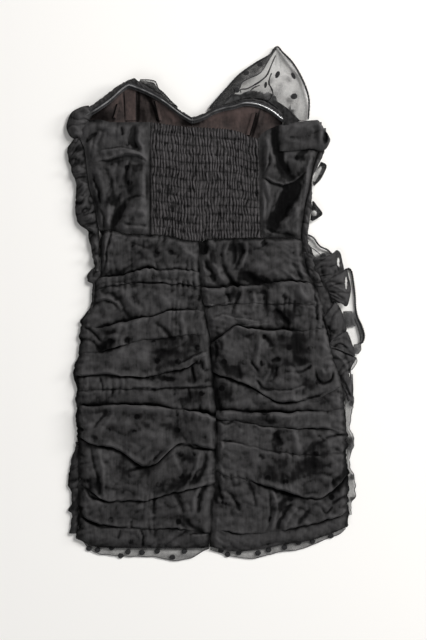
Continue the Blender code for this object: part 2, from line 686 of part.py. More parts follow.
def side_strips():
    """Gathered strips down the sides of the bodice and beside the lower skirt."""
    ruffled_strip("side_ruffle_left_upper", STRIP_CREASE, STRIP_LEFT_EDGE, 248.0, 49.0, 31,
                  BACK_FLOOR, 7.0, 9, "cloth", WALL)
    ruffled_strip("side_strip_right", STRIP_SEAM, STRIP_RIGHT_EDGE, 229.0, 27.0, 19,
                  BACK_FLOOR, 4.5, 4, "cloth", WALL)
    ruffled_strip("side_ruffle_left_lower", SKIRT_LEFT, LOWER_LEFT_STRIP, -208.0, -346.0, 17,
                  0.6, 2.5, 4, "cloth", WALL)
    ruffled_strip("side_ruffle_right_lower", SKIRT_RIGHT, LOWER_RIGHT_STRIP, -138.0, -318.0, 21,
                  0.6, 2.0, 5, "sheer", SHEER_WALL)


def ruffle_root(item, share):
    """Place and lower height of a ruffle's sewn line, beside what carries it."""
    if item.carrier == "free":
        x, y = along(item.root, share)
        return x, y, item.root_z
    place = mix(item.root[0], item.root[1], share)
    if item.carrier == "strip":
        return read(STRIP_RIGHT_EDGE, place) + RUFFLE_SPACE, place, item.root_z
    if item.carrier == "skirt":
        return read(SKIRT_RIGHT, place) + RUFFLE_SPACE, place, item.root_z
    if place > CUPS[1][2] + 3.0:
        return place, read(BAND_TOP, place) + 2.0 + RUFFLE_SPACE, BAND_RUFFLE_FLOOR
    return place, neck_edge(place) + RUFFLE_SPACE, frill_edge_top(place) - WALL + item.root_z


def ruffle(item):
    """Ruffle piece between its sewn line and its free edge, waved along the edge."""
    thickness = SHEER_WALL if item.look == "sheer" else WALL
    upper = []
    for level in even(0.0, 1.0, item.rows):
        row = []
        for share in even(0.0, 1.0, item.columns):
            root_x, root_y, root_z = ruffle_root(item, share)
            edge_x, edge_y = along(item.edge, share)
            wave = item.wave * (1.0 + level * math.sin(2.0 * math.pi * item.waves * share))
            ends = smooth(min(share, 1.0 - share) / 0.15)
            crown = item.crown * math.sin(math.pi * level) * (0.4 + 0.6 * ends)
            z = mix(root_z, item.edge_z, level) + crown + wave + thickness
            row.append((mix(root_x, edge_x, level), mix(root_y, edge_y, level), z))
        upper.append(row)
    wall(item.name, upper, thickness, item.look)


def crease_levels(creases, share, waist, hem):
    """Heights down one column of a skirt half, as (y, rise) pairs."""
    stations = (0.0, 0.25, 0.5, 0.75, 1.0)
    rounding = mix(0.3, 1.0, smooth(share / 0.08)) * smooth((1.0 - share) / 0.07)
    puff = SKIRT_PUFF * rounding
    last_y = waist - SKIRT_WAIST_ROW
    levels = [(waist, 0.4 * puff), (last_y, 0.9 * puff)]
    last_middle = 90.0
    last_depth = 2.0
    for number, crease in enumerate(creases):
        heights = (crease.seam, crease.quarter, crease.middle, crease.far_quarter, crease.side)
        depths = ((0.0, crease.at_seam), (0.5, crease.at_middle), (1.0, crease.at_side))
        y = read(tuple(zip(stations, heights)), share)
        depth = read(depths, share)
        next_y = hem
        if number + 1 < len(creases):
            after = creases[number + 1]
            places = (after.seam, after.quarter, after.middle, after.far_quarter, after.side)
            next_y = read(tuple(zip(stations, places)), share)
        above = min(LIP_WIDTH, 0.3 * (last_y - y))
        below = min(LIP_WIDTH, 0.3 * (y - next_y))
        lip = puff + LIP_SHARE * depth * rounding
        foot = puff - FOOT_SHARE * depth * rounding
        bulge = puff + BULGE_SHARE * (depth + last_depth) * rounding
        long_gap = last_middle - crease.middle > LONG_GAP
        for part in ((0.36, 0.68) if long_gap else (0.5,)):
            levels.append((mix(last_y, y, part), bulge))
        levels.append((y + above, lip if crease.lip_above else foot))
        levels.append((y, max(0.0, puff - LIP_SHARE * depth * rounding)))
        levels.append((y - below, foot if crease.lip_above else lip))
        last_y = y
        last_middle = crease.middle
        last_depth = depth
    levels.append((0.5 * (last_y + hem), 0.6 * puff))
    levels.append((hem, -HEM_DROP))
    return levels


def skirt_back(name, side_edge, creases, turn):
    """One half of the back skirt, gathered in creases between the centre seam and the side."""
    columns = []
    for share in SKIRT_COLUMNS:
        seam_shift = turn * SEAM_HALF
        waist_x = mix(read(CENTRE_SEAM, SKIRT_TOP) + seam_shift, read(side_edge, SKIRT_TOP), share)
        hem_x = mix(read(CENTRE_SEAM, SKIRT_BOTTOM) + seam_shift, read(side_edge, SKIRT_BOTTOM), share)
        levels = crease_levels(creases, share, read(WAIST, waist_x) - WAIST_SPACE, read(HEM, hem_x))
        column = []
        for y, rise in levels:
            x = mix(read(CENTRE_SEAM, y) + seam_shift, read(side_edge, y), share)
            inside = smooth(min(share, 1.0 - share) / 0.1)
            uneven = inside * ripple(x, y) if rise > 1.0 else 0.0
            column.append((x, y, BACK_BASE + max(-HEM_DROP, rise + uneven)))
        columns.append(column)
    upper = [list(row) for row in zip(*columns)]
    wall(name, upper, WALL, "cloth")


def hem_net(name, edge, left, right):
    """Dotted net that shows below the hem, flat on the surface."""
    upper = []
    for level in (0.0, 0.5, 1.0):
        row = []
        for x in even(left, right, NET_COLUMNS):
            inner = read(HEM, x) + FRONT_HEM_SHORT - NET_UNDER
            outer = min(inner - NET_LEAST, read(edge, x))
            wave = NET_WAVE * level * math.sin(0.16 * x)
            row.append((x, mix(inner, outer, level), SHEER_WALL + wave))
        upper.append(row)
    wall(name, upper, SHEER_WALL, "sheer", plain_floor=0.0)


def build():
    """Makes the whole dress."""
    for item in list(bpy.data.objects):
        bpy.data.objects.remove(item, do_unlink=True)
    dress = bpy.data.objects.new("dress", None)
    bpy.context.collection.objects.link(dress)
    front_skirt()
    front_bodice()
    front_cups()
    neckline()
    shirred_panel()
    back_sides()
    folded_band()
    side_strips()
    for item in RUFFLES:
        ruffle(item)
    skirt_back("back_skirt_left", SKIRT_LEFT, LEFT_CREASES, -1.0)
    skirt_back("back_skirt_right", SKIRT_RIGHT, RIGHT_CREASES, 1.0)
    hem_net("hem_net_left", NET_LEFT, *NET_LEFT_ENDS)
    hem_net("hem_net_right", NET_RIGHT, *NET_RIGHT_ENDS)


build()
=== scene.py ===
import math
from collections import namedtuple

import bpy
import numpy as np
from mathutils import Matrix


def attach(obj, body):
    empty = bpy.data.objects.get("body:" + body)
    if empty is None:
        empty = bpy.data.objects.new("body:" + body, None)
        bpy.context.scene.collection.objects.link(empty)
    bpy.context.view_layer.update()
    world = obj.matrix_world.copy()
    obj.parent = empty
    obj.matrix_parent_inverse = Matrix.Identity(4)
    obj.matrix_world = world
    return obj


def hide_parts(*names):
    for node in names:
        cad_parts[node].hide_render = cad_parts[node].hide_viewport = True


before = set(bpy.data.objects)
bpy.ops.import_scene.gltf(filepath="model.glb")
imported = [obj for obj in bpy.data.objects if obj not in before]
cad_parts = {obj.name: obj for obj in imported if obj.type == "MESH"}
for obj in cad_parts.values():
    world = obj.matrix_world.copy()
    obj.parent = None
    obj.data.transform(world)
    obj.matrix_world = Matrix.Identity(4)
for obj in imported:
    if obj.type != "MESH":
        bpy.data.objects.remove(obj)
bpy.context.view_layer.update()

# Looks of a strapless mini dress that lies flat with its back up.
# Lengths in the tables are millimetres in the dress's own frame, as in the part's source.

MILLIMETRE = 0.001

# Layers of the solids that the cloth lies on.
WALL = 2.0
SHEER_WALL = 1.0
LINING_WALL = 1.5
GAP = 0.3
SEAM = 0.25
FRONT_TOP = WALL
BACK_FLOOR = FRONT_TOP + GAP
BACK_BASE = BACK_FLOOR + WALL
LINING_TUCK = 12.0

# Thickness of the shells.
CLOTH = 0.7
VEIL = 0.25

# Tones of the cloth, from 0 for the darkest to 1 for the lightest. The tones also hold painted shade and
# painted highlight: on patches, scaled by the patch strength, and in creases and on their crests, scaled by
# the crease strength.
SKIRT_TONE = 0.385
BODICE_TONE = 0.40
LINING_TONE = 0.40
PATCH_STRENGTH = 1.4
CREASE_SHADE = 0.075
SOFT_DARK = 0.2
LOW_TONE = 0.24
HOLLOW_ROUGHNESS = 0.8

# Skirt folds.
CREASE_DEPTH = 1.3
FULL_DEPTH = 7.0
WAIST_DEPTH = 2.0
LIP_SHARE = 0.55
LIP_HALF = 7.5
CUT_HALF = 1.4
FOOT_HALF = 2.8
FOOT_REACH = 7.5
SHADE_HALF = 5.5
BULGE_SHARE = 0.25
SKIRT_PUFF = 5.0
SKIRT_WAIST_ROW = 7.0
SKIRT_HEM_ROW = 16.0
HEM_DROP = 0.5
SEAM_HALF = 0.3
WAIST_SPACE = 0.5
SKIRT_COLUMNS = 106
SKIRT_WIDTH = 250.0
ROW_STEP = 1.35
SKIRT_TOP = 96.0
SKIRT_BOTTOM = -366.0

# Front, which lies underneath.
FRONT_WAIST = (-171.0, 125.0)
FRONT_HEM = (-196.0, 182.0)
FRONT_HEM_SHORT = 14.0
FRONT_CORNER = 262.0
FRONT_SHELL_LIFT = 1.3
FRONT_LEFT_END = -205.0

# Back bodice, with its shirred centre panel.
PANEL_ROWS = 134
PANEL_COLUMNS = 76
GATHERS = 36
GATHER_STEPS = 7
GATHER_HEIGHT = 1.7
SHIRRING_BANDS = 12
SHIRRING_BAND = 12.5
BAND_STEPS = 9
SHIRRING_HEADER = 15.0
SHIRRED_LENGTH = 168.0
SHIRRED_FLOOR = FRONT_TOP + LINING_WALL + 3.0 * GAP
SHIRRED_LEFT = -98.0
UNDER_BAND_LEFT = 136.0

# Neckline: name and two ends of each cup, then the sizes of its trim.
CUPS = (("left", -196.0, -35.1), ("right", -34.9, 101.0))
CUP_END = 101.0
CUP_COLUMNS = 130
CUP_INNER = -5.0
CUP_OUTER = 3.0
CUP_FLAT = 2.0
BINDING_HALF = 4.0
BINDING_WALL = 1.2
BINDING_CROWN = 0.6
PIPING_RADIUS = 1.15
PIPING_SIDES = 12
FRILL_WIDTH = 2.0
FRILL_DROP = 5.0

# Strips, ruffles and the folded band.
STRIP_BUMP = 1.2
STRIP_STEP = 1.1
STRIP_COLUMNS = 22
UNDERLAY_FLOOR = 1.8
LOWER_STRIP_FLOOR = 0.6
RUFFLE_SPACE = 0.6
RUFFLE_CROWN_LIMIT = 4.5
PETAL_TUCK = 2.0
BAND_RUFFLE_FLOOR = 7.0
BAND_LEFT = 94.0
BAND_RIGHT = 172.0
BAND_FLOOR = 6.1
BAND_CROWN = 3.5
BAND_PRESS = 0.8
BAND_PRESS_WIDTH = 10.0

# Raised dots: height, and the reach and drop of each ring of points round the top.
DOT_HEIGHT = 0.35
DOT_SIDES = 20
DOT_RINGS = ((0.6, 0.05), (0.93, 0.16), (1.0, 0.45))

# Floor and camera, in metres.
FLOOR_HALF = 4.0
FLOOR_TOP = -0.0004
CAMERA_PLACE = (-0.00315, -0.0244, 1.61)
LAMP_AIM = (0.0, -0.05, 0.0)

# Height of the waist seam: place across, y.
WAIST = ((-180, 112), (-155, 110), (-134, 105), (-98, 104), (-65, 101), (-47, 96), (-25, 94),
         (-8, 97), (70, 99), (112, 99), (135, 96))

# Centre seam of the back skirt: y, place across.
CENTRE_SEAM = ((94, -25), (36, -23), (6, -19), (-24, -14), (-54, -8), (-84, -5), (-137, -1),
               (-204, 1), (-234, 1), (-270, -1), (-302, -5), (-332, -7), (-368, -10))

# Side edges of the skirt: y, place across.
SKIRT_LEFT = ((112, -173.5), (81, -173.5), (46, -173.5), (31, -183), (6, -184), (-8, -189), (-20, -198),
              (-34, -203), (-62, -203), (-83, -207), (-104, -212), (-132, -209), (-171, -210),
              (-200, -208), (-250, -205), (-310, -206), (-350, -208))
SKIRT_RIGHT = ((99, 128), (62, 133.5), (36, 142.5), (21, 153.5), (-2, 161), (-24, 166), (-47, 172),
               (-69, 176), (-92, 184), (-114, 191), (-144, 194), (-204, 197), (-264, 199),
               (-317, 200), (-345, 192))

# Hem edge of the opaque skirt and outer edge of the net under it: place across, y.
HEM = ((-215, -350), (-203, -356), (-191, -363), (-172, -367), (-98, -368), (-22, -368), (-9, -366),
       (11, -371), (32, -373), (58, -371), (100, -363), (139, -357), (160, -351), (179, -344),
       (201, -330))
NET_LEFT = ((-222, -351), (-202, -357), (-191, -369), (-182, -375), (-170, -378), (-128, -381),
            (-98, -381), (-62, -387), (-37, -383), (-17, -372), (-9, -369))
NET_RIGHT = ((-9, -370), (7, -375), (22, -380), (58, -384), (71, -381), (97, -374), (128, -370),
             (149, -362), (170, -353), (187, -347), (203, -331))

# Top edge of the back and the neckline's piping and outer edge: place across, y.
BACK_TOP = ((-205, 268), (-196, 275), (-175, 277), (-157, 273), (-98, 273), (-83, 271), (-53, 267),
            (-23, 265), (13, 263), (37, 258), (49, 252), (64, 249), (70, 256), (79, 262), (89, 266),
            (104, 268), (127, 272), (164, 274))
PIPING = ((-203, 280), (-188, 286), (-158, 304), (-137, 321), (-129, 325), (-119, 322), (-101, 315),
          (-80, 304), (-55, 286), (-44, 279), (-35, 275), (-17, 280), (-1, 288), (13, 292), (25, 294),
          (46, 299), (62, 297), (79, 291), (89, 285), (101, 277), (160, 268))
NECK_EDGE = ((-203, 289), (-192, 295), (-169, 310), (-148, 325), (-137, 331), (-124, 336), (-116, 333),
             (-100, 323), (-79, 311), (-58, 294), (-35, 281), (-23, 282), (-14, 286), (-1, 294),
             (14, 299), (29, 303), (52, 309), (64, 309), (76, 306), (89, 299), (104, 287))
NECK_RISE = ((-205, 5), (-170, 9), (-128, 16), (-80, 11), (-35, 6), (10, 11), (50, 15), (80, 11),
             (101, 6), (122, 0))

# Sides of the bodice: the crease or seam beside a strip and the strip's outer edge: y, place across.
STRIP_CREASE = ((250, -205), (231, -197), (204, -194), (175, -190), (148, -182), (123, -178),
                (108, -175.5), (90, -174.5), (36, -174.5))
STRIP_LEFT_EDGE = ((249, -213), (232, -223), (224, -223), (205, -218), (195, -215), (175, -210),
                   (157, -211), (126, -209), (119, -204), (108, -192), (79, -187), (56, -181),
                   (36, -184))
STRIP_SEAM = ((246, 160), (219, 151), (198, 145), (178, 142), (156, 136), (123, 131), (99, 128.8),
              (62, 134.3), (36, 143.3), (21, 154.3))
STRIP_RIGHT_EDGE = ((246, 168), (232, 166), (207, 154), (181, 145), (156, 145), (126, 142),
                    (103, 138), (81, 145), (54, 157), (25, 162))
SHIRRED_LEFT_EDGE = ((0, SHIRRED_LEFT), (250, SHIRRED_LEFT))
SHIRRED_RIGHT = ((250, 64), (200, 66.5), (150, 66.5), (95, 69))

# Creases that cross one half of the back skirt. The five heights are y from the centre seam to the
# side, the lip is the proud edge, above or below the crease, and the last three are its depths.
Crease = namedtuple("Crease", "name heights lip depths")

# Line across a skirt half: its y, depth and spread at each column.
Line = namedtuple("Line", "y depth spread")

LEFT_CREASES = (
    Crease("hip", (48, 51, 50, 43, 38), "below", (1, 8, 5)),
    Crease("hip_tuck", (27, 30, 31, 28, 20), "above", (2, 2, 0)),
    Crease("thigh", (-12, -11, -21, -32, -42), "below", (4, 7, 7)),
    Crease("side_tuck", (-45, -48, -55, -66, -78), "above", (0, 2, 6)),
    Crease("middle", (-74, -100, -108, -106, -108), "above", (3, 5, 5)),
    Crease("middle_tuck", (-123, -126, -129, -129, -130), "below", (1, 1.6, 0.6)),
    Crease("long", (-168, -161, -155, -153, -156), "below", (6, 8, 6)),
    Crease("swag", (-220, -210, -244, -216, -201), "above", (3, 9, 7)),
    Crease("low", (-272, -281, -294, -297, -273), "above", (5, 4, 6)),
    Crease("casing", (-345, -338, -338, -335, -318), "above", (4, 2, 4)),
)
RIGHT_CREASES = (
    Crease("hip", (24, 24, 27, 33, 31), "below", (4, 9, 4)),
    Crease("hip_tuck", (-4, -1, 0, 0, -2), "above", (3, 0.4, 0.15)),
    Crease("thigh", (-60, -36, -41, -41, -36), "below", (6, 7, 8)),
    Crease("drape", (-102, -119, -147, -144, -123), "above", (6, 8, 4)),
    Crease("long", (-161, -163, -165, -162, -160), "below", (4, 7, 2.5)),
    Crease("long_tuck", (-173, -180, -187, -187, -196), "above", (3, 3.5, 2)),
    Crease("soft", (-205, -214, -224, -228, -222), "below", (2, 1.6, 1)),
    Crease("swag", (-252, -266, -279, -293, -257), "above", (5, 8, 10)),
    Crease("casing", (-336, -345, -341, -330, -312), "above", (2, 3, 4)),
)

# Large folds of the bodice panels: the three places of each fold's line, its half width and height.
Fold = namedtuple("Fold", "name start bend end half_width height")

LEFT_BODICE_FOLDS = (
    Fold("tuck band", (-178, 225), (-138, 229), (-101, 215), 8, 3.5),
    Fold("under the band", (-160, 212), (-132, 219), (-101, 206), 6, -2.5),
    Fold("armhole pleat", (-122, 268), (-127, 246), (-118, 233), 7, -3.5),
    Fold("corner pleat", (-180, 260), (-188, 250), (-198, 241), 7, -3.0),
    Fold("waist pleat", (-140, 160), (-145, 133), (-156, 112), 9, -4.0),
    Fold("long ridge", (-165, 196), (-160, 160), (-166, 122), 11, 2.5),
    Fold("short ridge", (-118, 200), (-112, 165), (-118, 125), 13, 2.5),
)
RIGHT_BODICE_FOLDS = (
    Fold("long pleat", (89, 264), (96, 231), (110, 194), 8, -4.5),
    Fold("cross pleat", (70, 190), (106, 178), (131, 196), 6, -4.0),
    Fold("hollow", (130, 180), (104, 160), (86, 122), 13, -3.5),
    Fold("ridge beside the seam", (78, 240), (80, 210), (74, 185), 8, 2.0),
    Fold("ridge over the hollow", (122, 224), (124, 210), (118, 196), 9, 2.5),
    Fold("low ridge", (112, 150), (118, 130), (106, 112), 9, 3.0),
)

# Smaller creases: the line's places, its half width and its height, below 0 for a trough.
# One with a lip above or below has a proud edge on that side of its line.
Route = namedtuple("Route", "name points width height lip", defaults=(None,))

# Patches of painted shade and painted highlight over hollows, folds and crests, and darker or lighter
# patches of the layered cloth: middle, half lengths, change, turn in degrees.
Tone = namedtuple("Tone", "name x y long short change turn", defaults=(0,))

LEFT_SKIRT_CREASES = (
    Route("side pleat", ((-155, 123), (-163, 81), (-167, 48)), 2.0, -2.2),
    Route("hip line", ((-158, 33), (-113, 31), (-61, 30)), 2.0, 1.0, "below"),
    Route("hip gather a", ((-50, 36), (-49, 25)), 1.5, -1.5),
    Route("hip gather b", ((-43, 36), (-41, 25)), 1.5, -1.5),
    Route("hip gather c", ((-35, 34), (-34, 27)), 1.5, -1.2),
    Route("side lobe", ((-184, 0), (-167, 6), (-154, 1), (-142, -12)), 3.5, 2.4, "above"),
    Route("hip drape a", ((-149, 27), (-131, 6), (-110, -18)), 5.0, 1.4),
    Route("hip drape b", ((-161, 22), (-143, 0), (-128, -21)), 4.0, -1.6),
    Route("hip drape c", ((-98, 22), (-80, 6), (-56, -9)), 7.0, 1.2),
    Route("hip drape d", ((-76, 87), (-53, 69), (-29, 54)), 5.0, -1.2),
    Route("hip drape e", ((-61, 93), (-41, 78), (-25, 69)), 4.0, 1.2),
    Route("waist drape", ((-128, 96), (-119, 78), (-98, 63)), 7.0, -1.4),
    Route("side tuck a", ((-200, -30), (-184, -44), (-170, -57)), 2.2, -2.2),
    Route("side tuck b", ((-203, -51), (-185, -57), (-176, -69)), 2.2, -1.6),
    Route("thigh shade", ((-91, -26), (-76, -39), (-65, -53)), 3.5, -2.0),
    Route("thigh ridge", ((-56, -18), (-47, -33), (-50, -51)), 5.0, 1.2),
    Route("thigh hollow", ((-179, -68), (-164, -62), (-148, -56)), 5.5, -2.6),
    Route("thigh spot", ((-139, -57), (-130, -53)), 3.5, -2.2),
    Route("knee ridge", ((-53, -90), (-34, -80), (-13, -71)), 2.4, 1.6, "below"),
    Route("seam slit a", ((-35, -92), (-32, -116)), 2.0, -3.2),
    Route("seam slit b", ((-22, -84), (-17, -98), (-7, -101)), 2.0, -2.6),
    Route("middle second", ((-131, -128), (-83, -126), (-38, -125), (-11, -123)), 2.6, 1.2, "above"),
    Route("middle pocket", ((-82, -111), (-71, -114), (-61, -111)), 3.0, -2.4),
    Route("middle end", ((-173, -111), (-169, -134)), 1.8, -1.6),
    Route("middle upright", ((-41, -126), (-35, -144)), 2.5, -1.4),
    Route("long drape", ((-113, -164), (-71, -183), (-26, -213)), 9.0, -1.8),
    Route("long drape ridge", ((-143, -171), (-98, -195), (-68, -222)), 8.0, 1.2),
    Route("side drape a", ((-164, -161), (-173, -174), (-181, -189)), 2.6, -1.6),
    Route("side drape b", ((-155, -164), (-163, -179), (-173, -195)), 2.8, 1.2),
    Route("swag return", ((-131, -251), (-113, -246), (-98, -239), (-86, -228), (-73, -218)), 2.6, -2.8),
    Route("seam line", ((-67, -213), (-44, -213), (-23, -218), (-2, -219)), 2.0, -2.0),
    Route("swag upright", ((-178, -209), (-169, -249), (-170, -294)), 3.0, 1.4),
    Route("swag upright b", ((-188, -213), (-179, -249), (-173, -291)), 3.0, -1.4),
    Route("panel edge", ((-67, -204), (-59, -234), (-53, -255)), 3.0, 1.2),
    Route("fan a", ((-23, -221), (-32, -255), (-50, -279)), 2.6, 1.6),
    Route("fan b", ((-14, -222), (-17, -246), (-29, -270)), 3.0, -1.6),
    Route("side fan a", ((-197, -273), (-184, -291), (-164, -297)), 2.4, -2.2),
    Route("side fan b", ((-166, -297), (-143, -297), (-121, -294)), 2.0, 1.0, "above"),
    Route("low side", ((-206, -314), (-191, -326), (-172, -335)), 2.4, -2.4),
    Route("hem line", ((-173, -336), (-143, -336), (-112, -336)), 1.6, -1.2),
    Route("hem pleat a", ((-112, -339), (-107, -366)), 2.0, -2.0),
    Route("hem pleat b", ((-143, -339), (-148, -356)), 2.2, -1.2),
    Route("hem pleat c", ((-127, -324), (-124, -336)), 1.8, -1.4),
    Route("low seam", ((-38, -347), (-20, -345), (-7, -345)), 2.2, 1.6, "below"),
    Route("low drape a", ((-95, -291), (-92, -317)), 4.0, -1.8),
    Route("low drape b", ((-62, -285), (-52, -299), (-47, -315)), 4.0, -2.0),
    Route("low drape c", ((-13, -267), (-23, -291), (-28, -318)), 3.4, -2.4),
    Route("low drape d", ((-19, -266), (-31, -291), (-35, -315)), 3.0, 1.4),
    Route("low drape e", ((-47, -321), (-35, -336), (-14, -342)), 4.0, -1.8),
    Route("knot a", ((-212, -185), (-197, -189)), 2.4, -2.4),
    Route("knot b", ((-212, -227), (-194, -231)), 2.4, -1.6),
    Route("knot c", ((-218, -302), (-200, -309)), 2.4, -1.8),
)
RIGHT_SKIRT_CREASES = (
    Route("seam hollow", ((-20, 96), (-17, 87), (-19, 75)), 5.0, -3.6),
    Route("waist pleat a", ((20, 96), (14, 78), (16, 60)), 3.0, 1.3),
    Route("waist pleat b", ((28, 91), (29, 72), (25, 57)), 3.0, -1.5),
    Route("waist pleat c", ((47, 96), (44, 72), (35, 51)), 3.0, 1.5),
    Route("waist pleat d", ((37, 93), (37, 72), (31, 54)), 3.0, -1.4),
    Route("waist dark", ((70, 94), (76, 87)), 5.0, -2.6),
    Route("hip drape a", ((-17, 69), (-10, 51), (2, 30)), 3.6, -2.8),
    Route("hip drape b", ((-5, 63), (5, 45), (13, 31)), 3.6, 1.6),
    Route("hip drape c", ((10, 60), (20, 42), (32, 24)), 3.4, -2.6),
    Route("hip hollow", ((40, 48), (55, 36), (73, 28), (97, 27)), 6.0, -4.0),
    Route("hip ridge", ((52, 63), (79, 48), (109, 40)), 6.0, 1.4),
    Route("side fold a", ((112, 63), (124, 48), (134, 34)), 3.4, -1.8),
    Route("side fold b", ((98, 54), (112, 42), (127, 34)), 3.0, 1.2),
    Route("pocket foot", ((-14, 0), (4, -2), (23, 4)), 2.0, 1.4, "below"),
    Route("pocket side", ((13, 22), (20, 12), (22, 1)), 3.0, -2.0),
    Route("thigh drape a", ((38, 21), (32, 3), (23, -17)), 3.0, -1.8),
    Route("thigh drape b", ((70, 21), (76, 9), (74, -6)), 3.6, -2.4),
    Route("thigh drape c", ((56, 22), (59, 3), (55, -15)), 4.0, 1.4),
    Route("thigh spot a", ((101, 15), (109, 7)), 3.4, -2.0),
    Route("thigh drape d", ((88, -6), (98, -18), (110, -35)), 4.0, -2.8),
    Route("thigh drape e", ((121, 24), (133, 6), (136, -18)), 5.0, 1.4),
    Route("strip edge", ((-14, -23), (10, -17), (37, -21), (70, -27)), 2.2, 1.2, "below"),
    Route("strip line", ((22, -35), (52, -32), (85, -27)), 2.0, 0.8, "below"),
    Route("side upright", ((149, 21), (152, -3), (155, -30)), 2.4, -2.0),
    Route("drape spot a", ((70, -45), (79, -54), (85, -65)), 4.0, -2.2),
    Route("drape ridge a", ((70, -48), (64, -72), (62, -98)), 4.0, 1.8),
    Route("drape cut a", ((52, -84), (59, -93), (65, -104)), 2.0, -2.2),
    Route("drape spot b", ((82, -86), (97, -80)), 3.4, -2.0),
    Route("drape fan a", ((91, -93), (91, -105), (85, -117)), 1.8, -1.6),
    Route("drape fan b", ((82, -96), (79, -108), (70, -116)), 2.4, 1.2),
    Route("drape fan c", ((103, -101), (127, -101), (145, -93)), 2.4, -1.4),
    Route("drape corner", ((-2, -57), (1, -69), (-2, -87)), 2.6, -2.4),
    Route("swag second", ((59, -114), (70, -126), (85, -131)), 2.0, -2.2),
    Route("swag third", ((82, -131), (112, -129), (136, -123)), 2.6, 1.2, "below"),
    Route("ring foot", ((149, -101), (152, -113), (164, -120), (175, -114), (178, -99)), 1.8, -2.6),
    Route("ring crown", ((158, -93), (164, -105), (172, -93)), 3.0, 1.4),
    Route("swag cross", ((79, -147), (112, -146), (145, -141), (172, -129)), 2.0, -1.6),
    Route("long second", ((32, -176), (59, -182), (94, -186), (127, -185)), 2.2, 1.5, "below"),
    Route("long spot", ((68, -165), (79, -173)), 3.2, -2.6),
    Route("long hollow", ((89, -191), (94, -204), (98, -216)), 5.0, -2.6),
    Route("long upright", ((115, -188), (122, -204), (122, -224)), 4.0, 1.6),
    Route("soft cross", ((4, -203), (16, -209), (26, -206)), 2.2, -2.0),
    Route("soft spot", ((65, -227), (73, -236)), 3.4, -1.8),
    Route("seam knot a", ((1, -141), (5, -153), (8, -170)), 3.0, -2.6),
    Route("seam knot b", ((4, -200), (10, -209), (7, -222)), 3.0, 1.8),
    Route("seam knot c", ((4, -176), (16, -180), (29, -177)), 2.2, -1.6),
    Route("side line", ((163, -201), (184, -198), (202, -198)), 2.2, -2.0),
    Route("side spot", ((154, -198), (163, -206)), 2.2, -1.4),
    Route("low wedge", ((23, -284), (29, -297), (37, -312)), 3.2, -3.0),
    Route("low seam fold", ((2, -261), (4, -279), (10, -296)), 3.0, -3.0),
    Route("low line a", ((53, -272), (58, -290), (58, -306)), 2.0, -1.3),
    Route("low line b", ((85, -278), (91, -306), (86, -338)), 2.0, 1.5),
    Route("low line c", ((79, -279), (83, -306), (80, -336)), 2.4, -1.3),
    Route("low fan a", ((91, -339), (101, -318), (113, -299)), 3.0, -2.6),
    Route("low fan b", ((101, -339), (110, -321), (122, -303)), 3.0, 1.6),
    Route("low fan c", ((121, -336), (131, -321), (145, -306)), 3.6, -1.6),
    Route("low arc", ((157, -303), (166, -314), (175, -305)), 2.0, -1.8),
    Route("low side a", ((172, -302), (187, -291), (202, -285)), 3.0, -2.0),
    Route("low side b", ((166, -327), (184, -315), (202, -306)), 3.4, 1.4),
)
LEFT_BODICE_CREASES = (
    Route("band top", ((-176, 229), (-155, 233), (-128, 231), (-103, 220)), 2.2, 1.4, "below"),
    Route("band foot", ((-176, 214), (-158, 217), (-134, 222), (-116, 220), (-98, 211)), 2.6, 3.0, "above"),
    Route("top spot", ((-143, 268), (-142, 261), (-139, 253)), 2.6, -2.4),
    Route("top pleat", ((-122, 270), (-127, 247), (-119, 231)), 3.6, -3.6),
    Route("top ridge", ((-113, 268), (-116, 249), (-110, 229)), 3.6, 1.6),
    Route("corner line", ((-178, 256), (-188, 250), (-197, 241)), 2.4, -2.6),
    Route("corner line b", ((-167, 264), (-175, 246), (-176, 231)), 3.6, -1.4),
    Route("waist crease", ((-145, 162), (-149, 145), (-154, 126), (-155, 108)), 3.0, -3.6),
    Route("waist crease b", ((-136, 148), (-145, 135), (-152, 117)), 2.6, -2.2),
    Route("waist ridge", ((-160, 162), (-161, 138), (-163, 108)), 4.0, 1.8),
    Route("upright a", ((-167, 210), (-160, 189), (-154, 162)), 4.0, -1.6),
    Route("upright b", ((-178, 204), (-172, 177), (-167, 150)), 4.0, 1.6),
    Route("upright c", ((-131, 208), (-134, 186), (-129, 162)), 6.0, -0.8),
    Route("upright d", ((-112, 201), (-115, 177), (-107, 153)), 6.0, 0.5),
    Route("upright e", ((-103, 207), (-103, 180), (-100, 147)), 3.0, -1.4),
    Route("low drape a", ((-142, 123), (-122, 117), (-100, 118)), 3.0, -1.6),
    Route("low drape b", ((-140, 136), (-122, 141), (-101, 135)), 4.0, 1.4),
    Route("low drape c", ((-134, 156), (-119, 162), (-101, 157)), 3.0, -1.4),
    Route("strip side a", ((-187, 198), (-178, 174), (-173, 147)), 2.4, -1.8),
    Route("strip side b", ((-175, 144), (-169, 126), (-167, 105)), 2.6, -2.0),
)
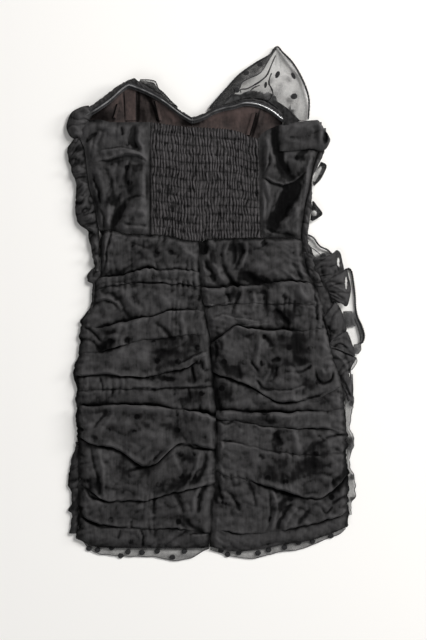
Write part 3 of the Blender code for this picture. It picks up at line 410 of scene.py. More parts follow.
RIGHT_BODICE_CREASES = (
    Route("panel seam", ((82, 247), (82, 219), (77, 204), (70, 192)), 1.8, -1.4),
    Route("valley", ((89, 265), (92, 246), (95, 229), (101, 211), (112, 193)), 5.0, -4.0),
    Route("valley ridge", ((77, 253), (83, 231), (89, 207)), 3.6, 1.4),
    Route("cross crease", ((70, 189), (85, 183), (103, 177), (118, 183), (133, 196)), 2.4, 3.4, "above"),
    Route("hollow", ((127, 183), (115, 162), (101, 141), (91, 117)), 7.0, -4.0),
    Route("hollow edge", ((101, 174), (91, 156), (85, 135)), 3.6, 1.8),
    Route("low fold", ((95, 117), (112, 129), (128, 147)), 4.0, 2.0),
    Route("waist fold a", ((76, 114), (97, 105), (124, 102)), 2.6, -2.0),
    Route("waist fold b", ((103, 108), (115, 102), (124, 91)), 2.2, -2.0),
    Route("upright a", ((73, 174), (76, 150), (73, 123)), 3.0, -1.2),
    Route("band shade", ((103, 222), (121, 219), (136, 216)), 5.0, -2.2),
    Route("side ridge", ((145, 222), (139, 204), (136, 186)), 3.6, 1.8),
    Route("side line", ((133, 189), (133, 168), (130, 147)), 2.4, -1.6),
)
# Left skirt: painted shade over hollows and under folds, painted highlight on crests, and darker or lighter
# patches of the layered cloth.
LEFT_SKIRT_TONE_AND_SHADE = (
    Tone("hip band", -155, 48, 21, 6, -0.3, 8),
    Tone("knee patch", -61, -72, 38, 20, -0.27, 12),
    Tone("side patch", -164, -63, 20, 9, -0.42, 14),
    Tone("side patch end", -131, -55, 7, 5, -0.3),
    Tone("drape shade", -64, -192, 40, 11, 0.02, -24),
    Tone("long corner", -178, -160, 17, 5, -0.38),
    Tone("swag shade", -109, -249, 33, 12, -0.16, 20),
    Tone("swag foot", -139, -244, 12, 12, -0.2),
    Tone("low shade", -59, -272, 36, 12, -0.3, 24),
    Tone("hem shade", -41, -318, 24, 18, -0.06),
    Tone("side shade", -179, -273, 15, 20, -0.34, -50),
    Tone("side corner", -212, -328, 8, 20, -0.6),
    Tone("seam shade", -32, -102, 12, 18, -0.33),
    Tone("middle spot", -73, -113, 13, 4, -0.28),
    Tone("waist light", -121, 72, 36, 15, 0.03, 10),
    Tone("hip light", -98, 12, 51, 14, 0.1, -6),
    Tone("side lobe light", -163, -6, 16, 9, 0.14),
    Tone("knee light", -119, -78, 24, 20, 0.17),
    Tone("seam light", -29, -76, 14, 8, 0.14),
    Tone("swag crest", -133, -209, 22, 6, 0.28, -30),
    Tone("fan light", -29, -243, 12, 24, 0.03),
    Tone("middle light", -143, -141, 45, 9, -0.2),
    Tone("low crest", -95, -330, 34, 6, 0.12),
    Tone("top shade", -101, 87, 15, 9, -0.34),
    Tone("seam fold shade", -32, -54, 9, 10, -0.26, 20),
    Tone("middle seam shade", -32, -142, 20, 12, -0.5),
    Tone("panel shade", -44, -225, 18, 10, -0.28),
    Tone("swag start", -174, -204, 13, 5, -0.48, -20),
    Tone("drape start", -112, -181, 13, 8, -0.42, -20),
    Tone("drape crest", -79, -173, 14, 5, 0.3, -18),
    Tone("tuck shade", -160, -40, 13, 7, -0.52, -10),
    Tone("hip fold light", -157, 22, 10, 4, 0.32, 10),
    Tone("top light", -55, 82, 16, 10, 0.1),
)
# Right skirt: painted shade over hollows and under folds, painted highlight on crests, and darker or
# lighter patches of the layered cloth.
RIGHT_SKIRT_TONE_AND_SHADE = (
    Tone("hip hollow", 62, 36, 20, 9, -0.38, -20),
    Tone("hip side light", 112, 41, 18, 5, 0.3, 4),
    Tone("seam top shade", -5, 66, 6, 12, -0.42),
    Tone("long hollow shade", 92, -208, 7, 18, -0.36),
    Tone("pocket shade", 61, 18, 16, 5, -0.36),
    Tone("waist shade", 35, 88, 18, 8, -0.34),
    Tone("waist corner", -18, 84, 7, 12, -0.5),
    Tone("drape slope", 41, 40, 9, 12, -0.3, -30),
    Tone("side light top", 140, 82, 7, 16, 0.3, -10),
    Tone("drape patch", 115, -60, 26, 22, -0.42, 4),
    Tone("drape patch foot", 119, -89, 20, 10, -0.36),
    Tone("drape spot", 90, -90, 12, 8, -0.26, 20),
    Tone("drape seam", 6, -68, 8, 28, -0.48, 8),
    Tone("drape foot", 26, -103, 16, 9, -0.34, -25),
    Tone("long patch", 149, -225, 18, 27, -0.15, -10),
    Tone("soft patch", 107, -250, 38, 17, -0.28, 4),
    Tone("seam shade", 10, -132, 12, 24, -0.4),
    Tone("swag shade", 148, -119, 24, 12, -0.18),
    Tone("low shade", 118, -294, 18, 12, -0.3, -20),
    Tone("thigh shade", 100, -20, 18, 12, -0.4, -40),
    Tone("hip light", 85, 63, 39, 15, 0.12, -8),
    Tone("hip crest", 128, 14, 26, 9, 0.3, -10),
    Tone("strip light", 52, -26, 51, 8, 0.22),
    Tone("drape light", 34, -66, 22, 21, 0.15),
    Tone("long light", 37, -204, 33, 18, 0.16),
    Tone("long crest", 30, -153, 24, 7, 0.26),
    Tone("side light", 169, -69, 10, 33, 0.16),
    Tone("side light low", 177, -228, 6, 34, 0.3, 8),
    Tone("soft light", 37, -257, 30, 15, 0.1),
    Tone("low light", 37, -327, 30, 24, 0.03),
    Tone("long upright light", 122, -204, 9, 18, 0.2),
    Tone("top shade", 25, 69, 15, 18, -0.2),
    Tone("pocket side", 31, 19, 8, 12, -0.58, 8),
    Tone("long spot", 77, -171, 13, 7, -0.55, -22),
    Tone("second swag shade", 56, -130, 12, 8, -0.5, -25),
    Tone("swag end", 188, -268, 9, 15, -0.62, -35),
    Tone("low seam shade", 2, -285, 4, 14, -0.5),
    Tone("low fan shade", 97, -304, 7, 12, -0.4, -30),
    Tone("drape edge light", 73, -70, 5, 16, 0.2),
)
# Bodice: painted shade in hollows, valleys, creases and under the band, and painted highlight on crests and
# ridges.
BODICE_SHADING = (
    Tone("left hollow", -131, 183, 20, 24, -0.2),
    Tone("left band shade", -140, 210, 22, 6, -0.2, -5),
    Tone("left crest", -124, 222, 20, 6, 0.34),
    Tone("left foot light", -124, 111, 18, 7, 0.3),
    Tone("right hollow", 105, 156, 12, 42, -0.68, -31),
    Tone("waist crease shade", -145, 137, 5, 17, -0.5, -25),
    Tone("waist crease foot", -153, 118, 5, 11, -0.34, -10),
    Tone("waist crease top", -155, 157, 7, 10, -0.7, -20),
    Tone("strip shade", -183, 160, 7, 24, -0.14, 10),
    Tone("right hollow foot", 86, 122, 12, 14, -0.5),
    Tone("under band", 130, 226, 12, 4.5, -0.45, 40),
    Tone("left under band light", -120, 214, 8, 5, 0.5, 10),
    Tone("band fold light", 112, 219, 8, 9, 0.42),
    Tone("valley", 93, 236, 8, 34, -0.75, 8),
    Tone("valley foot", 101, 200, 9, 14, -0.45, 20),
    Tone("left light", -119, 132, 21, 15, 0.1),
    Tone("left edge light", -169, 177, 14, 30, -0.06),
    Tone("top light", -158, 252, 21, 14, 0.12),
    Tone("right light", 76, 148, 7, 33, 0.48),
    Tone("side light", 138, 176, 6, 24, 0.5, -10),
    Tone("waist light", 115, 117, 14, 8, -0.08, 40),
)

# Sewn channels on the lining: both ends of the middle line, half the width, and the side that stays
# light, -1 for the left and 1 for the right.
Channel = namedtuple("Channel", "name top bottom half_width light_side")

CHANNELS = (
    Channel("boning_channel_left", (-126, 316), (-127, 276), 9.0, -1.0),
    Channel("boning_channel_side", (-146, 299), (-153, 280), 3.0, 1.0),
    Channel("boning_channel_middle", (-90, 303), (-84, 276), 3.0, 1.0),
    Channel("boning_channel_right", (58, 285), (49, 254), 4.0, -1.0),
)
LINING_SEAMS = (
    Route("left cup seam a", ((-138, 317), (-136, 296), (-135, 272)), 1.5, -1.2),
    Route("left cup seam b", ((-115, 319), (-116, 296), (-118, 272)), 2.2, -1.8),
    Route("left cup side seam", ((-143, 303), (-149, 290), (-155, 274)), 1.5, -0.8),
    Route("left cup front seam", ((-103, 312), (-96, 300), (-91, 290), (-86, 272)), 2.2, -1.8),
    Route("right cup seam", ((61, 287), (55, 270), (49, 250)), 2.0, -1.6),
    Route("left cup pucker", ((-74, 288), (-66, 281), (-60, 272)), 3.0, 0.8),
    Route("right cup pucker", ((10, 284), (14, 274), (16, 264)), 6.0, -0.6),
    Route("right cup pucker b", ((34, 288), (33, 276), (30, 264)), 5.0, 0.6),
)
# Lining: painted shade and painted highlight on panels of one satin, painted shade along its seams and a
# painted highlight on a crest.
LINING_TONE_AND_SHADE = (
    Tone("side panel", -172, 285, 22, 13, -0.15, 8),
    Tone("side panel foot", -166, 276, 20, 5, -0.1),
    Tone("side middle panel", -146, 282, 8, 18, 0.1, 10),
    Tone("middle panel", -127, 296, 9, 26, 0.14),
    Tone("front panel", -104, 292, 12, 22, -0.12, 6),
    Tone("front panel crest", -102, 286, 4, 14, 0.14),
    Tone("front panel edge", -93, 288, 4, 16, -0.3, 24),
    Tone("front panel top", -104, 310, 12, 5, -0.3, -30),
    Tone("centre panel", -68, 280, 18, 12, 0.22),
    Tone("centre end", -44, 274, 10, 6, -0.1),
    Tone("right panel", 18, 276, 42, 20, 0.28),
    Tone("right seam shade", 66, 276, 6, 18, -0.16, -25),
    Tone("right seam line", 60.5, 271, 2.2, 20, -0.5, -16),
    Tone("right side panel", 78, 266, 12, 16, 0.06),
)
SHIRRED_CREASES = (
    Route("casing", ((-96, 259), (-60, 257), (-20, 252), (20, 248), (60, 244)), 1.6, -1.3),
    Route("upright", ((-1, 247), (0, 233), (2, 218)), 3.0, -2.2),
    Route("upright b", ((-92, 262), (-89, 258), (-84, 256)), 3.0, -1.6),
    Route("low upright", ((4, 142), (5, 128), (3, 112)), 3.0, -1.2),
    Route("side upright", ((61, 240), (60, 200), (62, 150)), 3.0, -1.2),
)
BAND_CREASES = (
    Route("end hole", ((164, 257), (166, 250), (163, 241)), 2.6, -4.0),
    Route("end fold", ((152, 274), (158, 264), (157, 250), (154, 236)), 3.2, 1.6),
    Route("end fold foot", ((147, 270), (150, 258), (148, 244)), 3.6, -1.4),
    Route("end lip", ((168, 254), (170, 247), (167, 237)), 1.6, 1.2),
    Route("pull", ((104, 262), (120, 253), (140, 249)), 7.0, -0.7),
    Route("pull b", ((112, 268), (134, 264), (150, 262)), 4.0, 1.0),
    Route("pull c", ((98, 250), (116, 243), (138, 242)), 3.6, 0.9),
    Route("left tuck", ((96, 262), (99, 248), (97, 236)), 3.0, -0.6),
)
# Folded band: painted shade in its end's hole, at its left foot and across its middle, and painted
# highlight on its crests.
BAND_SHADING = (
    Tone("end hole", 164, 249, 4, 9, -0.6),
    Tone("left foot", 97, 236, 5, 7, -0.25),
    Tone("left crest", 112, 262, 13, 7, 0.1, 8),
    Tone("top crest", 136, 270, 22, 4, 0.14, 4),
    Tone("middle shade", 128, 248, 26, 6, -0.12, 4),
    Tone("low crest", 126, 238, 22, 4, 0.08, 2),
)
PETAL_PLEATS = (
    Route("tip pleat a", ((94, 382), (97, 366), (98, 352)), 1.2, 0.9),
    Route("tip pleat b", ((95, 382), (101, 370), (108, 358)), 1.2, 0.9),
    Route("tip pleat c", ((92, 378), (91, 366), (90, 356)), 1.2, 0.8),
    Route("edge pleat", ((98, 380), (108, 362), (118, 344), (128, 330)), 1.6, 0.9),
    Route("side pleat", ((100, 352), (112, 345), (122, 336)), 2.0, -0.7),
    Route("low pleat", ((84, 300), (96, 318), (100, 335)), 6.0, 1.2),
    Route("low pleat b", ((118, 284), (122, 306), (120, 326)), 5.0, -0.8),
)

# Ruffle pieces as in the part's source: the sewn line and the outer edge with their heights, the crown
# between them, and how many waves of which height run along the edge. A root of two numbers is a stretch
# of the neckline or of the right side strip.
Ruffle = namedtuple("Ruffle", "name carrier root edge root_z edge_z crown waves wave look")

RUFFLES = {item.name: item for item in (
    Ruffle("underarm_gather_left", "free", ((-182, 288), (-190, 276), (-197, 264), (-199, 250)),
           ((-191, 298), (-204, 295), (-216, 288), (-222, 276), (-224, 265), (-219, 253), (-211, 248)),
           3.4, 2.0, 8.0, 3, 0.8, "cloth"),
    Ruffle("side_tip_left", "free", ((-181.55, 56), (-184.4, 36)),
           ((-186, 52), (-193, 43), (-192, 37), (-186, 34)),
           2.6, 1.5, 1.0, 1, 0.3, "cloth"),
    Ruffle("bust_petal_left", "neck", (-115, -58),
           ((-113, 336), (-92, 334), (-86, 323), (-78, 316), (-67, 304), (-57, 295)),
           0.4, 9.0, 1.0, 2, 0.4, "sheer"),
    Ruffle("bust_petal_right", "neck", (-8, 138),
           ((-9, 294), (-4, 301), (16, 324), (37, 346), (61, 363), (82, 375), (88, 384), (94, 387),
            (101, 379), (116, 363), (130, 340), (139, 316), (141, 298), (139.5, 278)),
           0.4, 1.5, 2.0, 5, 0.8, "sheer"),
    Ruffle("side_ruffle_right_a", "strip", (206, 181),
           ((158, 213), (166, 208), (163, 198), (157, 187), (148, 178)),
           2.5, 4.0, 2.0, 1, 0.8, "sheer"),
    Ruffle("side_ruffle_right_b", "strip", (155, 126),
           ((147, 154), (152, 147), (160, 136), (154, 130), (145, 125)),
           2.5, 3.5, 2.0, 1, 0.8, "sheer"),
    Ruffle("side_ruffle_right_c", "free", ((136, 102), (137, 88), (140, 78), (145, 67)),
           ((139, 104), (148, 99), (157, 87), (169, 81), (176, 74)),
           2.0, 1.0, 3.0, 2, 0.6, "sheer"),
    Ruffle("side_ruffle_right_d", "free", ((143, 67), (148, 54), (154, 42), (161, 31)),
           ((154, 69), (169, 72), (176, 75), (182, 80), (187, 76), (190, 63), (192, 48), (181, 42),
            (166, 33)),
           3.5, 5.0, 4.0, 2, 0.8, "cloth"),
    Ruffle("side_ruffle_right_e", "free", ((163, 34), (167, 24), (172, 13), (175, 5)),
           ((191, 48), (197, 50), (199, 42), (202, 31), (203, 21), (201, 9), (198, -2), (194, -3), (190, 1),
            (176, 3)),
           4.0, 4.0, 4.0, 2, 0.8, "cloth"),
    Ruffle("side_ruffle_right_f", "free", ((161, -18), (164, -27), (169, -41), (173, -55)),
           ((170, -9), (178, 0), (181, 1), (188, -9), (193, -24), (196, -36), (195, -42), (184, -48),
            (174, -57)),
           4.5, 5.0, 3.5, 2, 0.7, "cloth"),
    Ruffle("side_ruffle_right_g", "free", ((172, -56), (170, -60), (172, -66)),
           ((184, -49), (196, -42), (200, -47), (205, -60), (209, -78), (200, -74), (188, -69), (173, -68)),
           3.0, 3.0, 2.5, 2, 0.7, "cloth"),
    Ruffle("side_ruffle_right_h", "free", ((169, -66), (175, -84), (184, -107), (194, -132), (199, -147)),
           ((178, -68), (194, -72), (205, -78), (211, -82), (205, -93), (203, -102), (205, -122),
            (206, -144)),
           2.5, 2.0, 3.5, 3, 0.8, "cloth"),
    Ruffle("side_ruffle_right_net", "free",
           ((193, 45), (194, 21), (194, 1), (196, -24), (200, -47), (208, -62)),
           ((193, 49), (200, 53), (205, 48), (208, 31), (210, 13), (211, -6), (214, -20), (220, -33),
            (224, -47), (222, -57), (217, -60)),
           0.2, 0.4, 0.4, 5, 0.2, "sheer"),
)}

# Creases and openings of the lobes down the right side, a line and a dot on one, and the loop's fold.
LOBE_CREASES = (
    Route("ray a", ((191, 31), (180, 29), (167, 24)), 1.8, -1.6),
    Route("ray b", ((194, 6), (183, 13), (172, 20)), 2.0, -1.4),
    Route("ray c", ((196, 18), (184, 24), (172, 30)), 1.8, 1.0),
    Route("top shade", ((152, 66), (164, 64), (176, 66)), 2.2, -1.0),
    Route("lobe fold", ((158, 60), (160, 48), (164, 38)), 2.5, -1.2),
    Route("hollow a", ((166, -32), (173, -41), (180, -45)), 3.0, -2.6),
    Route("hollow b", ((169, -40), (172, -50)), 3.0, -2.4),
    Route("wave", ((176, -65), (187, -61), (200, -68)), 1.8, -2.2),
    Route("long crease", ((184, -104), (193, -120), (205, -143)), 2.0, -2.6),
    Route("fold a", ((176, -74), (190, -84), (198, -98)), 2.6, 1.2),
    Route("fold b", ((196, -78), (200, -90), (200, -104)), 2.0, -1.2),
)
LOBE_SLITS = ((184, 60, 2.0, 10.0), (196, 31, 2.0, 10.5), (201, -107, 1.6, 3.0))
LOBE_LINE = ((140, 87), (149, 81), (160, 72))
LOBE_DOT = (162.0, 72.8)
LOOP_FOLD = ((210, -22), (215, -36), (218, -48), (218, -56))

# Outer edges of the narrow ruffle strips beside the skirt's lower edges: y, place across.
LOWER_LEFT_STRIP = ((-206, -210), (-219, -212), (-231, -217), (-249, -220), (-273, -223), (-282, -218),
                    (-300, -217), (-311, -222), (-316, -216), (-333, -218), (-349, -222))
LOWER_RIGHT_STRIP = ((-137, 206), (-144, 208), (-167, 205), (-186, 202), (-200, 208), (-212, 209),
                     (-228, 203), (-240, 202), (-258, 208), (-282, 211), (-291, 211), (-300, 205),
                     (-312, 204), (-326, 206))

# Edges of the gathered cloth that shows past the skirt's sides, above those strips: y, place across.
RIGHT_UNDERLAY = ((80, 138), (75, 143), (69, 154), (63, 178), (48, 187), (31, 186), (18, 182), (6, 177),
                  (-3, 182), (-24, 188), (-44, 190), (-62, 198), (-80, 203), (-93, 201), (-111, 201),
                  (-144, 202))
LEFT_UNDERLAY = ((70, -184), (63, -184), (49, -182), (42, -190), (34, -193), (30, -186), (18, -186),
                 (6, -186), (-9, -191), (-16, -194))
LEFT_UNDERLAY_ROOT = ((75, -175), (46, -175), (31, -184), (6, -185), (-16, -192))

# Gathered strips down the sides: edges, ends, lowest height, crown and the waves along it. A strip with
# a carrier is a part of that piece, and its inner edge is tucked under it.
Strip = namedtuple("Strip", "name inner outer top bottom floor crown waves seed tone look carrier tuck",
                   defaults=(0.32, "cloth", None, 0.0))

STRIPS = (
    Strip("side_ruffle_left_upper", STRIP_CREASE, STRIP_LEFT_EDGE, 248.0, 49.0, BACK_FLOOR, 7.0, 9, 101.0,
          0.26),
    Strip("side_strip_right", STRIP_SEAM, STRIP_RIGHT_EDGE, 229.0, 27.0, BACK_FLOOR, 4.5, 4, 102.0),
    Strip("back_skirt_right_side_gathers", SKIRT_RIGHT, RIGHT_UNDERLAY, 78.0, -142.0, UNDERLAY_FLOOR, 2.6,
          11, 105.0, 0.42, "cloth", "back_skirt_right_cloth", 3.0),
    Strip("back_skirt_left_side_gathers", LEFT_UNDERLAY_ROOT, LEFT_UNDERLAY, 70.0, -14.0, UNDERLAY_FLOOR,
          2.6, 8, 106.0, 0.32, "cloth", "back_skirt_left_cloth", 4.0),
    Strip("side_ruffle_left_lower", SKIRT_LEFT, LOWER_LEFT_STRIP, -208.0, -346.0, LOWER_STRIP_FLOOR, 2.5,
          6, 103.0, 0.15),
    Strip("side_ruffle_right_lower", SKIRT_RIGHT, LOWER_RIGHT_STRIP, -138.0, -318.0, LOWER_STRIP_FLOOR, 2.0,
          7, 104.0, 0.32, "sheer"),
)

# Top and lower edges of the folded band over the right side panel: place across, y.
BAND_TOP = ((94, 268), (110, 271), (130, 274), (153, 276), (158, 271), (163, 263), (168, 256), (172, 248))
BAND_BOTTOM = ((94, 229), (119, 230), (146, 233), (158, 230), (165, 232), (169, 237), (172, 244))

# Big petal: upper outline of the dark gathers at its foot, the folded strip along its left side, the
# edges of its inner layers, and its dots. Gathers are place across and height over the neckline's edge.
PETAL_GATHERS = ((-8, 0), (5, 1), (18, 6), (26, 12), (34, 9), (40, 8), (50, 8), (58, 9), (66, 8), (72, 7),
                 (78, 10), (83, 12), (90, 11), (94, 4), (100, 2), (108, 5), (120, 4), (138, 1))
PETAL_STRIP_OUTER = ((-9, 293.5), (-4, 300), (16, 323), (37, 345), (61, 362), (82, 374), (88, 383),
                     (92, 386))
PETAL_STRIP_INNER = ((4, 290), (10, 297), (24, 311), (36, 323), (39, 331), (50, 338), (64, 344), (72, 352),
                     (80, 366), (88, 379), (91, 383))
PETAL_INNER_EDGE = ((90, 373), (84, 359), (77, 343), (68, 334), (59, 328), (47, 322), (38, 321), (38, 316))
PETAL_INNER_RIGHT = ((84, 346), (81, 338), (80, 330), (84, 322), (86, 314), (82, 306))
PETAL_INNER_LOW = ((52, 318), (57, 323), (66, 327))
PETAL_DOTS = ((93, 344, 5.6, 3.2, 65), (117, 343, 5.4, 2.8, -62), (118, 312, 5.4, 4.4, 10),
              (75, 328, 4.8, 2.2, 80), (32, 320, 4.2, 4.0, 0), (46, 347, 4.4, 3.6, 20),
              (67, 360, 4.4, 3.4, 30))
PETAL_EDGES = (("inner_edge", PETAL_INNER_EDGE, 1.0), ("inner_right_edge", PETAL_INNER_RIGHT, 1.0),
               ("inner_low_edge", PETAL_INNER_LOW, 0.8), ("strip_edge", PETAL_STRIP_INNER, 0.6))

# Small pieces sewn on others, each between two edges, with a rolled edge along the second.
Patch = namedtuple("Patch", "name first last height closeness tone look edge_radius carrier")

PATCHES = (
    Patch("side_ruffle_right_net_inset", ((192, -11), (196, -35)), ((206, -11), (211, -34)),
          2.2, 0.72, 0.62, "sheer", 0.0, "side_ruffle_right_net_cloth"),
    Patch("side_ruffle_right_net_knot", ((208, -61), (206, -75)), ((218, -60), (219, -69), (214, -76)),
          2.6, 0.6, 0.5, "sheer", 0.5, "side_ruffle_right_net_cloth"),
    Patch("side_ruffle_right_net_tip", ((204, -84), (204, -99)),
          ((212, -81), (213, -87), (209, -95), (205, -100)),
          2.0, 0.14, 0.5, "sheer", 0.5, "side_ruffle_right_net_cloth"),
    Patch("side_ruffle_right_net_end", ((202, -104), (203, -150)), ((206, -106), (207, -128), (206, -150)),
          2.0, 0.5, 0.3, "sheer", 0.7, "side_ruffle_right_net_cloth"),
    Patch("neckline_end_gathers", ((80, 301), (95, 286), (103, 268)), ((93, 303), (110, 291), (127, 274)),
          9.0, 0.97, 0.16, "cloth", 0.5, "neckline_frill_right_cloth"),
    Patch("neckline_knot", ((-130, 329), (-122, 328), (-112, 325)), ((-129, 333), (-122, 337), (-116, 332)),
          15.0, 0.97, -0.12, "cloth", 0.4, "neckline_frill_left_cloth"),
)
FRILL_FOLD = ((52, 306), (64, 307), (76, 304), (86, 298), (97, 289), (106, 280))

# Dots on the hem net: place across, y and turn in degrees.
LEFT_NET_DOTS = ((-191, -369, 0), (-178, -371, 10), (-157, -368, 0), (-132, -374, 30), (-111, -375, 0),
                 (-88, -373, 10), (-65, -382, -10), (-47, -373, 20), (-143, -380, 0))
RIGHT_NET_DOTS = ((8, -372, 0), (35, -375, 10), (64, -376, 0), (80, -371, 20), (104, -367, 0),
                  (125, -360, 10), (146, -358, 0), (174, -350, 20), (18, -378, 0))

# Soft folds of the front, which lies face down under the back.
FRONT_CREASES = (
    Route("front drape a", ((-160, 60), (-80, 70), (0, 52), (100, 66)), 5.0, 1.5),
    Route("front drape b", ((-175, 10), (-90, -8), (10, -2), (130, -20)), 5.0, 1.6),
    Route("front drape c", ((-190, -60), (-70, -52), (50, -72), (160, -60)), 5.5, 1.6),
    Route("front drape d", ((-195, -110), (-100, -128), (20, -112), (170, -130)), 4.5, 1.5),
    Route("front drape e", ((-200, -190), (-110, -176), (30, -194), (180, -178)), 5.5, 1.6),
    Route("front drape f", ((-198, -250), (-90, -262), (40, -240), (185, -262)), 5.0, 1.5),
    Route("front drape g", ((-195, -305), (-60, -298), (60, -312), (180, -300)), 4.5, 1.4),
    Route("front pull a", ((-140, 30), (-90, 22), (-40, 34)), 4.0, 1.2),
    Route("front pull b", ((20, -40), (70, -28), (120, -44)), 4.0, 1.2),
    Route("front pull c", ((-120, -215), (-70, -222), (-20, -212)), 4.0, 1.2),
    Route("front bodice a", ((-150, 120), (-146, 180), (-160, 240)), 5.0, 1.5),
    Route("front bodice b", ((-90, 115), (-84, 180), (-96, 250)), 4.5, 1.4),
    Route("front bodice c", ((-20, 112), (-24, 170), (-14, 245)), 4.5, 1.4),
    Route("front bodice d", ((50, 112), (46, 170), (56, 240)), 5.0, 1.5),
    Route("front bodice e", ((105, 112), (112, 170), (120, 240)), 4.5, 1.4),
)

# Cut of what shows of each sheet: width, length and area in metres, and how it is held.
Cut = namedtuple("Cut", "node width length area held")

CUTS = (
    Cut("front_skirt", 0.42, 0.48, 0.180, "laid"),
    Cut("front_bodice", 0.38, 0.175, 0.058, "laid"),
    Cut("front_cup_left", 0.165, 0.075, 0.0082, "laid"),
    Cut("front_cup_right", 0.14, 0.068, 0.0068, "laid"),
    Cut("lining_cup_left", 0.165, 0.075, 0.0081, "laid"),
    Cut("lining_cup_right", 0.14, 0.068, 0.0066, "laid"),
    Cut("back_shirred_panel", 0.215, 0.18, 0.0385, "gathered"),
    Cut("back_bodice_left", 0.115, 0.20, 0.0205, "gathered"),
    Cut("back_bodice_right", 0.095, 0.20, 0.0165, "gathered"),
    Cut("back_band_right", 0.09, 0.048, 0.0041, "folded"),
    Cut("back_skirt_left", 0.215, 0.62, 0.130, "gathered"),
    Cut("back_skirt_right", 0.215, 0.62, 0.127, "gathered"),
    Cut("side_ruffle_left_upper", 0.032, 0.26, 0.0070, "gathered"),
    Cut("side_strip_right", 0.018, 0.23, 0.0038, "gathered"),
    Cut("side_ruffle_left_lower", 0.016, 0.17, 0.0024, "gathered"),
    Cut("side_ruffle_right_lower", 0.012, 0.20, 0.0022, "gathered"),
    Cut("underarm_gather_left", 0.042, 0.07, 0.0024, "gathered"),
    Cut("side_tip_left", 0.014, 0.022, 0.0002, "gathered"),
    Cut("bust_petal_left", 0.06, 0.024, 0.00055, "gathered"),
    Cut("bust_petal_right", 0.155, 0.12, 0.0095, "gathered"),
    Cut("side_ruffle_right_a", 0.034, 0.021, 0.00045, "gathered"),
    Cut("side_ruffle_right_b", 0.030, 0.018, 0.00038, "gathered"),
    Cut("side_ruffle_right_c", 0.046, 0.032, 0.0009, "gathered"),
    Cut("side_ruffle_right_d", 0.055, 0.048, 0.0020, "gathered"),
    Cut("side_ruffle_right_e", 0.055, 0.050, 0.0019, "gathered"),
    Cut("side_ruffle_right_f", 0.060, 0.040, 0.0016, "gathered"),
    Cut("side_ruffle_right_g", 0.040, 0.040, 0.0012, "gathered"),
    Cut("side_ruffle_right_h", 0.090, 0.045, 0.0021, "gathered"),
    Cut("side_ruffle_right_net", 0.13, 0.026, 0.0023, "gathered"),
    Cut("hem_net_left", 0.205, 0.030, 0.0046, "laid"),
    Cut("hem_net_right", 0.21, 0.030, 0.0041, "laid"),
)


def smooth(share):
    """Eased share from 0 to 1."""
    share = np.clip(share, 0.0, 1.0)
    return share * share * (3.0 - 2.0 * share)


def mix(first, last, share):
    """Value at a share of the way between two values."""
    return first + (last - first) * share


def bell(distance, width):
    """Bump that is 1 at no distance and falls away over a width."""
    return np.exp(-(distance / width) ** 2)


def arch(share, power=1.0):
    """Arch over a share, 0 at its ends and 1 in its middle; a lower power makes it fuller."""
    return np.clip(np.sin(np.pi * share), 0.0, 1.0) ** power


def margin(share):
    """Share of the way in from the nearer end."""
    return np.minimum(share, 1.0 - share)


def grid(rows, columns):
    """Shares from 0 to 1 down the rows and across the columns of a grid of points."""
    level = np.linspace(0.0, 1.0, rows)[:, None] * np.ones((1, columns))
    share = np.linspace(0.0, 1.0, columns)[None, :] * np.ones((rows, 1))
    return level, share


def surface(x, y, z):
    """Grid of points from their coordinates."""
    return np.stack(np.broadcast_arrays(x, y, z), axis=-1)


def read(table, place):
    """Values of a table of (place, value) rows, joined by curves that never swing past a row."""
    rows = np.array(sorted(table), float)
    places = rows[:, 0]
    values = rows[:, 1]
    slopes = np.diff(values) / np.diff(places)
    product = slopes[:-1] * slopes[1:]
    total = np.where(product > 0.0, slopes[:-1] + slopes[1:], 1.0)
    leans = np.concatenate([slopes[:1], np.where(product > 0.0, 2.0 * product / total, 0.0), slopes[-1:]])
    place = np.clip(place, places[0], places[-1])
    index = np.clip(np.searchsorted(places, place) - 1, 0, len(slopes) - 1)
    step = places[index + 1] - places[index]
    share = (place - places[index]) / step
    value = mix(values[index], values[index + 1], smooth(share))
    value = value + step * leans[index] * share * (1.0 - share) ** 2
    return value - step * leans[index + 1] * share ** 2 * (1.0 - share)


def spaced(values, share):
    """Values that are evenly spaced over the shares from 0 to 1, joined by the same curves."""
    return read(tuple(zip(np.linspace(0.0, 1.0, len(values)), values)), share)


def along(points, share):
    """Places at shares of the length of a smooth curve through some places."""
    points = np.array(points, float)
    lengths = np.sqrt((np.diff(points, axis=0) ** 2).sum(axis=1))
    marks = np.concatenate([[0.0], np.cumsum(lengths)])
    reach = np.clip(share, 0.0, 1.0) * marks[-1]
    index = np.clip(np.searchsorted(marks, reach, side="right") - 1, 0, len(lengths) - 1)
    part = ((reach - marks[index]) / lengths[index])[..., None]
    before = points[np.maximum(index - 1, 0)]
    after = points[np.minimum(index + 2, len(points) - 1)]
    place = mix(points[index], points[index + 1], smooth(part))
    place = place + 0.5 * (points[index + 1] - before) * part * (1.0 - part) ** 2
    return place - 0.5 * (after - points[index]) * part ** 2 * (1.0 - part)


def nearest(x, y, line):
    """Distance from each place to a line, the side of the line, and the share along it."""
    best = np.full(x.shape, np.inf)
    side = np.zeros(x.shape)
    share = np.zeros(x.shape)
    for index, (a, b) in enumerate(zip(line, line[1:])):
        run = b - a
        part = ((x - a[0]) * run[0] + (y - a[1]) * run[1]) / (run @ run)
        part = np.clip(part, 0.0, 1.0)
        gap = np.hypot(x - a[0] - part * run[0], y - a[1] - part * run[1])
        turn = run[0] * (y - a[1]) - run[1] * (x - a[0])
        closer = gap < best
        best = np.where(closer, gap, best)
        side = np.where(closer, np.sign(turn), side)
        share = np.where(closer, (index + part) / (len(line) - 1), share)
    return best, side, share


